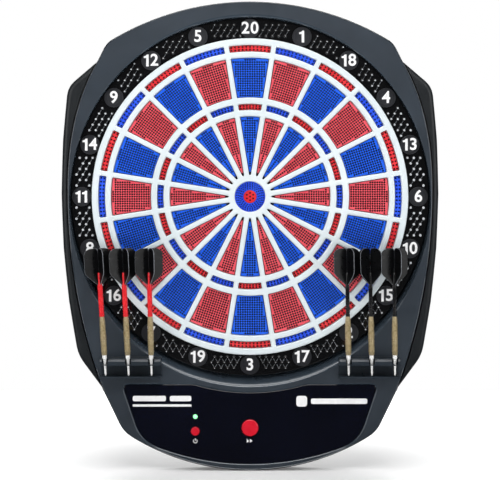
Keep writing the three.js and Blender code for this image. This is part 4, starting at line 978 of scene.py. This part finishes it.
PIP_PROFILE = [(2.5, -0.3), (2.45, 0.35), (2.1, 0.85), (1.4, 1.25), (0.6, 1.45)]
PIP_SIDES = 12
RIDGE_WIDTH = 1.0
RIDGE_RISE = 0.9
CROSSED_BELOW = -90  # below this height ridges lean both ways
CROWN_PROFILE = [(1.0, 1.2), (1.0, 1.45), (0.85, 1.6)]
DISC_PROFILE = [
    (12.6, -0.2), (12.6, 0.9), (12.3, 1.2), (11.5, 1.2), (11.2, 0.8), (10.5, 0.8), (10.2, 1.2), (8.6, 1.2),
    (8.3, 0.9), (7.8, 0.9), (7.5, 1.2),
]
NUMBER_HEIGHT = 15.5
CAPITAL_SHARE = 0.73  # the height of the built-in font's figures, as a share of its size
FIGURE_WIDTH = 0.76
ONE_WIDTH = 0.56
ONE_SHAPE = [
    (-0.24, 0.2), (-0.24, 0.34), (-0.06, 0.4), (0.03, 0.5), (0.18, 0.5), (0.18, -0.5), (-0.03, -0.5),
    (-0.03, 0.2),
]


def number_spots():
    """Centres of the number discs, clockwise from the top."""
    return [polar(NUMBER_CIRCLE, TURN * i / SECTORS) for i in range(SECTORS)]


def pip_spots():
    """Centres of the catch ring's pips, on a hexagonal lattice between the ring's edges and the discs."""
    reach = int(CATCH_OUTER / PIP_ROW) + 1
    spots = {}
    for row in range(-reach, reach + 1):
        for column in range(-reach, reach + 1):
            spot = at((column + row % 2 / 2) * PIP_PITCH, row * PIP_ROW)
            on_ring = CATCH_INNER + 3.2 < spot.length < CATCH_OUTER - 3.0
            clear = NUMBER_DISC_RADIUS + 2.8
            off_discs = all((spot - centre).length > clear for centre in number_spots())
            if on_ring and off_discs:
                spots[(2 * column + row % 2, row)] = spot
    return spots


def ridge(solid, start, end):
    """A low roof-shaped rib on the catch ring's face, in the pale grey of a painted sheen."""
    across = (end - start).normalized()
    side = at(-across.y, across.x) * (RIDGE_WIDTH / 2)
    top = CATCH_FACE + RIDGE_RISE
    foot = [start - side, start + side, end + side, end - side]
    low = solid.loop(foot, CATCH_FACE - 0.2)
    crest = solid.ring([(start.x, top, start.y), (end.x, top, end.y)])
    near, far = crest
    ends = [(low[0], low[1], near), (low[2], low[3], far)]
    slopes = [(low[1], low[2], far, near), (low[3], low[0], near, far)]
    for corners in (low, *ends, *slopes):
        solid.face(corners, 3)


def build_catch_ring():
    """A black ring of pips and ridges round the target. The crowns are a painted glint, drawn wider towards
    the sides.
    """
    solid = Solid()
    underside = CATCH_FACE - WALL
    solid.hoop(
        [(CATCH_INNER, underside), (CATCH_INNER, CATCH_FACE - 0.5), (CATCH_INNER + 0.5, CATCH_FACE),
         (CATCH_OUTER - 0.5, CATCH_FACE), (CATCH_OUTER, CATCH_FACE - 0.5), (CATCH_OUTER, CATCH_BACK),
         (CATCH_OUTER - WALL, CATCH_BACK), (CATCH_OUTER - WALL, underside)],
        180,
    )
    spots = pip_spots()
    for (column, row), spot in spots.items():
        profile = [(radius, CATCH_FACE + rise) for radius, rise in PIP_PROFILE]
        solid.disc(profile, PIP_SIDES, spot.x, spot.y)
        # Painted glint: the pale crown grows towards the sides of the ring.
        glint_scale = 0.45 + 1.15 * min(1, (spot.x / 225) ** 2)
        profile = [(radius * glint_scale, CATCH_FACE + rise) for radius, rise in CROWN_PROFILE]
        solid.disc(profile, PIP_SIDES, spot.x, spot.y, finish=2)
        leans = (-1, 1) if spot.y < CROSSED_BELOW else (1,)
        for lean in leans:
            neighbour = spots.get((column + lean, row + 1))
            if neighbour is not None:
                ridge(solid, spot, neighbour)
    for centre in number_spots():
        profile = [(radius, CATCH_FACE + rise) for radius, rise in DISC_PROFILE]
        solid.disc(profile, 48, centre.x, centre.y, finish=1)
    mesh = mesh_from("catch_ring_relief", solid, [CATCH_ABS, DISC_ABS, PAINTED_GLINT_ABS, RIDGE_PAINTED_SHEEN_ABS])
    show("catch_ring_relief", mesh, "cabinet", "catch_plastic", ["catch_ring"])


def lettering(text, height, x, z, depth, rise):
    """Raised upright figures, centred on a point, whose back is at a depth."""
    curve = bpy.data.curves.new("figures", "FONT")
    curve.body = text
    curve.align_x = "CENTER"
    curve.align_y = "CENTER"
    curve.size = height / CAPITAL_SHARE * MM
    curve.offset = 0.022 * curve.size
    curve.extrude = rise / 2 * MM
    curve.resolution_u = 6
    holder = linked("figures", curve)
    mesh = evaluated_mesh(holder)
    bpy.data.objects.remove(holder)
    bpy.data.curves.remove(curve)
    place = Matrix.Translation((x * MM, -(depth + rise / 2) * MM, z * MM))
    mesh.transform(place @ Matrix.Rotation(math.pi / 2, 4, "X"))
    return mesh


def joined_mesh(name, meshes, finish):
    """Several meshes as one, in one finish."""
    whole = bmesh.new()
    for mesh in meshes:
        whole.from_mesh(mesh)
        bpy.data.meshes.remove(mesh)
    bmesh.ops.remove_doubles(whole, verts=whole.verts, dist=1e-7)
    made = bpy.data.meshes.new(name)
    whole.to_mesh(made)
    whole.free()
    in_one_finish(made, finish)
    return made


def build_numbers():
    """Raised figures on the discs. The 1 is drawn here with a flag, as the built-in font's is a bare bar."""
    back, front = CATCH_FACE + NUMBER_DISC_RISE - 0.35, CATCH_FACE + NUMBER_DISC_RISE + 0.25
    ones = Solid()
    meshes = []
    for number, centre in zip(NUMBER_ORDER, number_spots()):
        widths = [NUMBER_HEIGHT * (ONE_WIDTH if figure == "1" else FIGURE_WIDTH) for figure in str(number)]
        left = centre.x - sum(widths) / 2
        for figure, width in zip(str(number), widths):
            middle = at(left + width / 2, centre.y)
            left += width
            if figure == "1":
                outline = [middle + at(x, z) * NUMBER_HEIGHT for x, z in ONE_SHAPE]
                ones.plate(anticlockwise(outline), back, front, 0.08, steps=1)
            else:
                meshes.append(lettering(figure, NUMBER_HEIGHT, middle.x, middle.y, back, front - back))
    meshes.append(mesh_from("ones", ones, [PRINT_INK]))
    show("number_figures", joined_mesh("number_figures", meshes, PRINT_INK), "cabinet", "number_white")


# ---------------------------------------------------------------------------------------------------
# Housing and bezel
# ---------------------------------------------------------------------------------------------------


def welded_copy(node):
    """A CAD node's mesh as a bmesh, with its seams closed."""
    copy = bmesh.new()
    copy.from_mesh(CAD[node].data)
    bmesh.ops.remove_doubles(copy, verts=copy.verts, dist=1e-6)
    return copy


def eased(copy, radius):
    """Makes a bmesh's flat faces whole, and rounds its sharp edges unless the radius is 0."""
    bmesh.ops.dissolve_limit(
        copy, angle_limit=math.radians(0.3), verts=copy.verts, edges=copy.edges, delimit={"NORMAL"}
    )
    if not radius:
        return
    sharp = math.radians(30)
    edges = [e for e in copy.edges if len(e.link_faces) == 2 and e.calc_face_angle() > sharp]
    bmesh.ops.bevel(
        copy, geom=edges, offset=radius * MM, offset_type="OFFSET", segments=2, profile=0.5,
        affect="EDGES", clamp_overlap=True,
    )


def mesh_of(copy, name, finish):
    """Turns a bmesh into a shaded mesh in one finish."""
    mesh = bpy.data.meshes.new(name)
    bmesh.ops.recalc_face_normals(copy, faces=copy.faces)
    copy.to_mesh(mesh)
    copy.free()
    in_one_finish(mesh, finish)
    shaded(mesh)
    return mesh


def build_housing():
    """The CAD housing, cut by a slightly larger envelope whose rolled edges round its back and its wings."""
    spare = 0.3
    envelope = Solid()
    outline = grown(HOUSING_OUTLINE, spare)
    rings = []
    for inset, drop in rolled(2.5, 4):
        rings.append(envelope.loop(grown(outline, -inset), drop - spare * 0.3))
    for inset, drop in rolled(6.5, 6)[::-1]:
        rings.append(envelope.loop(grown(outline, -inset), WING_FACE + spare * 0.1 - drop))
    envelope.stack(rings)
    envelope.cap(rings[0])
    envelope.cap(rings[-1])
    cutter = linked("envelope", mesh_from("envelope", envelope, []))
    body = linked("housing", mesh_of(welded_copy("rear_housing"), "housing_body", HOUSING_ABS))
    cut = body.modifiers.new("rolled edges", "BOOLEAN")
    cut.operation = "INTERSECT"
    cut.solver = "EXACT"
    cut.object = cutter
    mesh = evaluated_mesh(body)
    bpy.data.objects.remove(body)
    bpy.data.objects.remove(cutter)
    in_one_finish(mesh, HOUSING_ABS)
    shaded(mesh, 28)
    show("housing_shell", mesh, "cabinet", "wing_plastic", ["rear_housing"])


def build_bezel():
    """The slate frame: rolled outer edge in black as painted shade, a broad rolled lip round the opening, and
    the panel's recess.
    """
    solid = Solid()
    bead = [
        solid.loop(grown(BEZEL_OUTLINE, -inset), BEZEL_FACE + rise)
        for inset, rise in ((1.75, 0), (1.65, 0.35), (1.35, 0.5), (1.05, 0.35), (0.9, 0))
    ]
    outer = [bead[-1]]
    outer += [solid.loop(grown(BEZEL_OUTLINE, -inset), BEZEL_FACE - drop) for inset, drop in rolled(0.85, 3)]
    outer.append(solid.loop(BEZEL_OUTLINE, BEZEL_BACK))
    lip = []
    for inset, drop in rolled(4.4, 6):
        depth = BEZEL_FACE - drop
        share = (depth - BEZEL_BACK) / (BEZEL_FACE - BEZEL_BACK)
        lip.append(solid.loop(throat(share, inset * 0.75), depth))
    lip.append(solid.loop(throat(0), BEZEL_BACK))
    seat = BEZEL_FACE - 1.8
    window = grown(PANEL_OUTLINE, -4)
    recess = [solid.loop(grown(PANEL_OUTLINE, inset), BEZEL_FACE - drop) for inset, drop in rolled(1.6)]
    recess += [solid.loop(PANEL_OUTLINE, seat), solid.loop(window, seat), solid.loop(window, BEZEL_BACK)]
    # The outer roll takes the black gloss ABS: painted shade where the edge turns away from the light.
    for rings, finish in ((bead, 1), (outer, 2), (lip, 1), (recess, 1)):
        solid.stack(rings, finish)
    solid.cap(bead[0], [lip[0], recess[0]])
    solid.cap(outer[-1], [lip[-1], recess[-1]])
    mesh = mesh_from("bezel_shell", solid, [BEZEL_ABS, LIP_ABS, CATCH_ABS])
    show("bezel_shell", mesh, "cabinet", "bezel_plastic", ["front_bezel"])


# ---------------------------------------------------------------------------------------------------
# Control panel
# ---------------------------------------------------------------------------------------------------


def centre_of(node):
    """The middle of a CAD node, seen from the room."""
    low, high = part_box(node)
    return at((low.x + high.x) / 2 / MM, (low.z + high.z) / 2 / MM)


def radius_of(node, flange):
    """The radius of a round CAD node without its flange."""
    low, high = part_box(node)
    return (high.z - low.z) / 2 / MM - flange


BUTTON_FLANGE = 2
LED_FLANGE = 1.1
FLANGE_THICKNESS = 1.5
FLANGE_FRONT = PANEL_BACK - 0.3
POWER_SPOT, POWER_RADIUS = centre_of("power_button"), radius_of("power_button", BUTTON_FLANGE)
NEXT_SPOT, NEXT_RADIUS = centre_of("next_button"), radius_of("next_button", BUTTON_FLANGE)
LED_SPOT, LED_RADIUS = centre_of("status_led"), radius_of("status_led", LED_FLANGE)
PRINT_RISE = 0.12


def build_panel():
    """The gloss sheet, with holes for the two buttons and the lamp."""
    holes = [
        (anticlockwise(circle(radius + 0.4, 48, spot.x, spot.y)), 0.4, None, 0)
        for spot, radius in ((POWER_SPOT, POWER_RADIUS), (NEXT_SPOT, NEXT_RADIUS), (LED_SPOT, LED_RADIUS))
    ]
    solid = Solid()
    solid.plate(grown(PANEL_OUTLINE, -0.3), PANEL_BACK, PANEL_FRONT, 0.7, holes)
    mesh = mesh_from("panel_sheet", solid, [PANEL_ACRYLIC])
    show("panel_sheet", mesh, "cabinet", "panel_gloss", ["control_panel"])


def printed(solid, outline):
    """Adds a printed mark, drawn thick enough to show, to the panel's face."""
    solid.plate(anticlockwise(outline), PANEL_FRONT - 0.1, PANEL_FRONT + PRINT_RISE, 0.05, steps=1)


def build_panel_print():
    """Plain white marks: bars at the panel's shoulders, a power sign and a forward sign under the buttons."""
    solid = Solid()
    bar_top = PANEL_SHOULDER_Z - 15
    for left, right, fall, height in ((-152, -109, 0, 7), (-104, -76, 0, 7), (-152, -76, 11, 3)):
        printed(solid, rounded_box(left, right, bar_top - fall - height, bar_top - fall, height * 0.35))
    printed(solid, rounded_box(60, 74, bar_top - 14, bar_top, 4))
    printed(solid, rounded_box(79, 152, bar_top - 10.5, bar_top - 3.5, 2.4))
    sign = at(POWER_SPOT.x, POWER_SPOT.y - 12.6)
    arc = [sign + polar(2.9, 0.75 + (TURN - 1.5) * i / 20) for i in range(21)]
    arc += [sign + polar(2.1, 0.75 + (TURN - 1.5) * i / 20) for i in range(20, -1, -1)]
    printed(solid, arc)
    printed(solid, rounded_box(sign.x - 0.4, sign.x + 0.4, sign.y + 0.4, sign.y + 3.4, 0.2))
    sign = at(NEXT_SPOT.x, NEXT_SPOT.y - 17)
    for shift in (-2.6, 1.4):
        left, right = sign.x + shift - 1.6, sign.x + shift + 1.8
        printed(solid, [at(left, sign.y - 2.6), at(right, sign.y), at(left, sign.y + 2.6)])
    show("panel_print", mesh_from("panel_print", solid, [PRINT_INK]), "cabinet", "number_white")


def build_buttons():
    """Two dished caps on stems, held behind the panel by their flanges."""
    buttons = [("power_button", POWER_SPOT, POWER_RADIUS), ("next_button", NEXT_SPOT, NEXT_RADIUS)]
    for body, spot, radius in buttons:
        face = front_of(body)
        roll = min(1.4, radius * 0.2)
        profile = [
            (2, back_of(body)), (2, FLANGE_FRONT - FLANGE_THICKNESS),
            (radius + BUTTON_FLANGE, FLANGE_FRONT - FLANGE_THICKNESS), (radius + BUTTON_FLANGE, FLANGE_FRONT),
            (radius, FLANGE_FRONT),
        ]
        profile += [(radius - inset, face - drop) for inset, drop in rolled(roll, 5)[::-1]]
        dish = 0.5
        for step in range(1, 7):
            share = 1 - step / 7
            profile.append(((radius - roll) * share, face - dish * (1 - share**2)))
        solid = Solid()
        solid.disc(profile, 64, spot.x, spot.y)
        show(f"{body}_cap", mesh_from(f"{body}_cap", solid, [BUTTON_ACETAL]), body, "button_red", [body])


def build_lamp():
    """A small domed light pipe above the power button."""
    face = front_of("status_led")
    brim = LED_RADIUS + LED_FLANGE
    dome = face - PANEL_FRONT + 0.4
    profile = [
        (LED_RADIUS, back_of("status_led")), (LED_RADIUS, FLANGE_FRONT - FLANGE_THICKNESS),
        (brim, FLANGE_FRONT - FLANGE_THICKNESS), (brim, FLANGE_FRONT), (LED_RADIUS, FLANGE_FRONT),
        (LED_RADIUS, face - dome),
    ]
    for angle in (0.3, 0.6, 0.9, 1.2, 1.45):
        profile.append((LED_RADIUS * math.cos(angle), face - dome * (1 - math.sin(angle))))
    solid = Solid()
    solid.disc(profile, 32, LED_SPOT.x, LED_SPOT.y)
    show("led_lens", mesh_from("led_lens", solid, [LED_RESIN]), "cabinet", "led_clear", ["status_led"])


# ---------------------------------------------------------------------------------------------------
# Racks and darts
# ---------------------------------------------------------------------------------------------------

DARTS = [
    # name, side, place, twist in degrees, lean in degrees, red shaft
    ("dart_1", -1, -1, 24.5, -3.7, True),
    ("dart_2", -1, 0, 27, -2.9, True),
    ("dart_3", -1, 1, 24.5, -1.4, True),
    ("dart_4", 1, -1, 24.5, -0.9, False),
    ("dart_5", 1, 0, 45, -0.9, False),
    ("dart_6", 1, 1, 22, -0.3, False),
]
RACK_CENTRE = 156.2
DART_PITCH = 29.7
DART_DEPTH = 58.5
DART_REST_Z = -217.1
TIP_PROFILE = [
    (0.25, -13.5), (0.9, -12.6), (1.2, -11), (1.35, -4), (1.6, 0), (1.8, 2), (2.0, 4), (2.3, 8), (2.9, 9),
    (2.9, 12.6), (2.6, 13.1),
]
FLIGHT = {"low": 102.6, "high": 150.3, "half_span": 19, "thick": 0.8}


def turned(profile, count, finish, name):
    """A shape turned about a vertical axis from (radius, height) pairs."""
    solid = Solid()
    closed = [(0, profile[0][1]), *profile, (0, profile[-1][1])]
    solid.lathe(closed, count, lambda r, a, h: (r * math.cos(a), r * math.sin(a), h))
    return mesh_from(name, solid, [finish])


def barrel_profile():
    """A barrel with a plain nose, ringed grips between collars, and a stepped tail."""
    profile = [(2.6, 12.9), (3.2, 13.1), (3.5, 13.7), (3.5, 17)]
    height = 17.0
    for rings, wide in ((9, 3.9), (9, 4.0), (6, 3.8)):
        profile += [(wide, height + 0.5), (wide, height + 2.0), (wide - 0.5, height + 2.4)]
        height += 2.9
        groove = wide - 0.42
        for _ in range(rings):
            profile += [(groove, height), (wide, height + 0.3)]
            profile += [(wide, height + 0.75), (groove, height + 1.05)]
            height += 1.15
    return [*profile, (3.5, height + 0.8), (3.4, 58), (2.9, 62.2), (2.5, 62.5)]


def shaft_profile(wide):
    """A moulded shaft with grip rings above the barrel and a collar that holds the flight."""
    profile = [(1.9, 62.2), (wide, 62.6), (wide, 66)]
    height = 66.0
    groove = wide - 0.35
    for _ in range(4):
        profile += [(groove, height + 0.4), (groove, height + 1.4), (wide, height + 1.8), (wide, height + 3)]
        height += 3.4
    collar = [(wide - 0.2, 96), (wide, 97), (wide, 101.5), (wide - 0.4, 103)]
    return [*profile, *collar, (2.1, 106), (2.1, 118.4), (1.7, 119)]


def flight_solid():
    """Four thin vanes on a cross, with rounded corners and a swept lower edge."""
    low, high, span, half = FLIGHT["low"], FLIGHT["high"], FLIGHT["half_span"], FLIGHT["thick"] / 2
    root = 0.4
    corners = [
        at(root, low), at(2.2, low), at(span, low + 15), at(span, high - 5), at(span - 7, high),
        at(root, high),
    ]
    outline = anticlockwise(softened(corners, 4.5, 6, 0.3))
    solid = Solid()
    for quarter in range(4):
        angle = TURN * quarter / 4
        along, across = at(math.cos(angle), math.sin(angle)), at(-math.sin(angle), math.cos(angle))
        sheets = []
        for offset, inset in ((-half, 0.15), (-half * 0.4, 0), (half * 0.4, 0), (half, 0.15)):
            points = []
            for p in grown(outline, -inset):
                flat = along * p.x + across * offset
                points.append((flat.x, flat.y, p.y))
            sheets.append(solid.ring(points))
        solid.stack(sheets, 1)
        solid.face(sheets[0])
        solid.face(sheets[-1])
    return solid


def build_darts():
    """Six darts, each a tip, a barrel, a shaft and a flight that share one body."""
    tip = turned(TIP_PROFILE, 24, TIP_NYLON, "dart_tip")
    barrel = turned(barrel_profile(), 32, BRASS, "dart_barrel")
    shafts = {
        True: turned(shaft_profile(3.3), 24, RED_SHAFT_NYLON, "dart_shaft_red"),
        False: turned(shaft_profile(2.7), 24, BLACK_SHAFT_NYLON, "dart_shaft_black"),
    }
    flight = mesh_from("dart_flight", flight_solid(), [FLIGHT_FILM, CUT_EDGE])
    for body, side, place, twist, lean, red in DARTS:
        x = side * RACK_CENTRE + place * DART_PITCH
        stand = Matrix.Translation((x * MM, -DART_DEPTH * MM, DART_REST_Z * MM))
        leaning = stand @ Matrix.Rotation(math.radians(lean), 4, "Y")
        pose = leaning @ Matrix.Rotation(math.radians(twist), 4, "Z")
        shaft_slot = "dart_shaft_red" if red else "dart_shaft_black"
        show(f"{body}_barrel", barrel, body, "dart_brass", [body], pose)
        show(f"{body}_tip", tip, body, "dart_tip", place=pose)
        show(f"{body}_shaft", shafts[red], body, shaft_slot, place=pose)
        show(f"{body}_flight", flight, body, "dart_flight", place=pose)


# ---------------------------------------------------------------------------------------------------
# Pieces behind the front, and small hardware
# ---------------------------------------------------------------------------------------------------


def build_eased_pieces():
    """CAD pieces that only need rounded edges, of a radius in millimetres, and a finish."""
    groups = [
        (("dart_rack_left", "dart_rack_right"), 0.8, RACK_ABS, "rack_plastic"),
        (("rubber_mat",), 0.3, RUBBER, "rubber_black"),
        (("sensor_membrane",), 0, FILM, "film_amber"),
        (("backing_plate",), 0.3, HARDBOARD, "hardboard"),
        (("main_board",), 0.1, CIRCUIT, "circuit_green"),
        (("power_switch", "next_switch"), 0.25, SWITCH_NYLON, "switch_black"),
        (("battery_1", "battery_2", "battery_3"), 0.5, CELL_WRAP, "cell_wrap"),
        (("contact_positive", "contact_link_right", "contact_link_left", "contact_negative"), 0.15,
         NICKEL_STEEL, "nickel"),
        (("lead_positive",), 0, RED_PVC, "lead_red"),
        (("lead_negative",), 0, BLACK_PVC, "lead_black"),
        (("battery_door",), 0.4, HOUSING_ABS, "wing_plastic"),
    ]
    for nodes, radius, finish, slot in groups:
        for node in nodes:
            copy = welded_copy(node)
            eased(copy, radius)
            body = node if node == "battery_door" else "cabinet"
            show(f"{node}_piece", mesh_of(copy, f"{node}_piece", finish), body, slot, [node])


def screw_ring(solid, spot, radius, depth):
    """A ring of points round a screw's axis."""
    return solid.loop(circle(radius, 32, spot.x, spot.y), depth)


def build_screws():
    """Pan-head screws with a cross recess, in their seats at the back."""
    crest, root, pitch = 1.4, 1.05, 1.2
    for i in range(1, 7):
        node = f"housing_screw_{i}"
        spot = centre_of(node)
        back, front = back_of(node), front_of(node)
        radius = radius_of(node, 0)
        solid = Solid()
        cross = []
        for quarter in range(4):
            angle = TURN * quarter / 4
            along, side = at(math.cos(angle), math.sin(angle)), at(-math.sin(angle), math.cos(angle))
            arm = spot + along * radius * 0.55
            cross += [arm - side * 0.35, arm + side * 0.35, spot + (along + side) * 0.45]
        mouth, floor = [solid.loop(anticlockwise(cross), depth) for depth in (back, back + 0.9)]
        rim = [screw_ring(solid, spot, radius - inset, back + drop) for inset, drop in rolled(0.6)]
        solid.band(mouth, floor)
        solid.face(floor)
        solid.cap(rim[0], [mouth])
        depth = back + min(2.2, (front - back) * 0.5)
        rim.append(screw_ring(solid, spot, radius, depth))
        shank = [screw_ring(solid, spot, crest, depth)]
        while depth + pitch < front - pitch:
            shank.append(screw_ring(solid, spot, root, depth + pitch / 2))
            shank.append(screw_ring(solid, spot, crest, depth + pitch))
            depth += pitch
        shank.append(screw_ring(solid, spot, 0.4, front))
        solid.stack([*rim, *shank])
        solid.face(shank[-1])
        mesh = mesh_from(f"{node}_piece", solid, [ZINC_STEEL])
        show(f"{node}_piece", mesh, "cabinet", "screw_steel", [node])


build_segments()
build_bulls()
build_spider()
build_catch_ring()
build_numbers()
build_housing()
build_bezel()
build_panel()
build_panel_print()
build_buttons()
build_lamp()
build_darts()
build_eased_pieces()
build_screws()


# ---------------------------------------------------------------------------------------------------
# Stage
# ---------------------------------------------------------------------------------------------------


# Camera, in metres: level and square to the board, far enough to flatten it
CAMERA_DISTANCE = 1.84
CAMERA_HEIGHT = -0.0564


def softbox(name, place, aim, width, height, watts):
    """A rectangular soft light, in metres and watts, turned towards a point."""
    light = bpy.data.lights.new(name, "AREA")
    light.shape = "RECTANGLE"
    light.size, light.size_y = width, height
    light.energy = watts
    lamp = linked(name, light)
    lamp.location = place
    lamp.rotation_euler = (Vector(aim) - Vector(place)).to_track_quat("-Z", "Y").to_euler()
    return lamp


def build_stage():
    """A camera level with the panel, pale paper under the board, and soft light all round."""
    scene = bpy.context.scene
    scene.view_settings.view_transform = "Standard"

    camera = bpy.data.cameras.new("front_camera")
    camera.lens = 100
    camera.sensor_width = 36
    holder = linked("front_camera", camera)
    holder.location = (0, -CAMERA_DISTANCE, CAMERA_HEIGHT)
    holder.rotation_euler = (math.pi / 2, 0, 0)
    scene.camera = holder

    floor_mesh = bpy.data.meshes.new("floor")
    half_width, near, far = 2.5, -1.5, 0.9
    level = CABINET_BOTTOM * MM - 0.0005
    corners = [(-half_width, near), (half_width, near), (half_width, far), (-half_width, far)]
    floor_mesh.from_pydata([(x, y, level) for x, y in corners], [], [(0, 1, 2, 3)])
    floor_mesh.materials.append(seamless_paper())
    floor = linked("floor", floor_mesh)
    floor.visible_glossy = False

    centre = (0, -0.04, (CABINET_TOP + CABINET_BOTTOM) / 2 * MM)
    lamps = [
        softbox("left_softbox", (-1.5, -1.35, 0.45), centre, 0.7, 1.4, 8),
        softbox("right_softbox", (1.5, -1.35, 0.45), centre, 0.7, 1.4, 8),
        softbox("front_softbox", (0, -1.7, 1.35), centre, 1.2, 0.6, 14),
        softbox("top_softbox", (0, -0.35, 1.15), centre, 1.6, 0.7, 11),
        softbox("back_softbox", (0, 1.6, 0.7), centre, 1.6, 1.2, 30),
    ]
    world = bpy.data.worlds.new("studio")
    scene.world = world
    world.use_nodes = True
    tree = world.node_tree
    tree.nodes.clear()
    seen = add(tree, "Background", {"Color": linear("#ffffff"), "Strength": 1.0})
    fill = add(tree, "Background", {"Color": linear("#eef2f6"), "Strength": 0.05})
    ray = add(tree, "LightPath").outputs["Is Camera Ray"]
    both = add(tree, "MixShader", {"Fac": ray, 1: fill, 2: seen})
    add(tree, "OutputWorld", {"Surface": both})


build_stage()
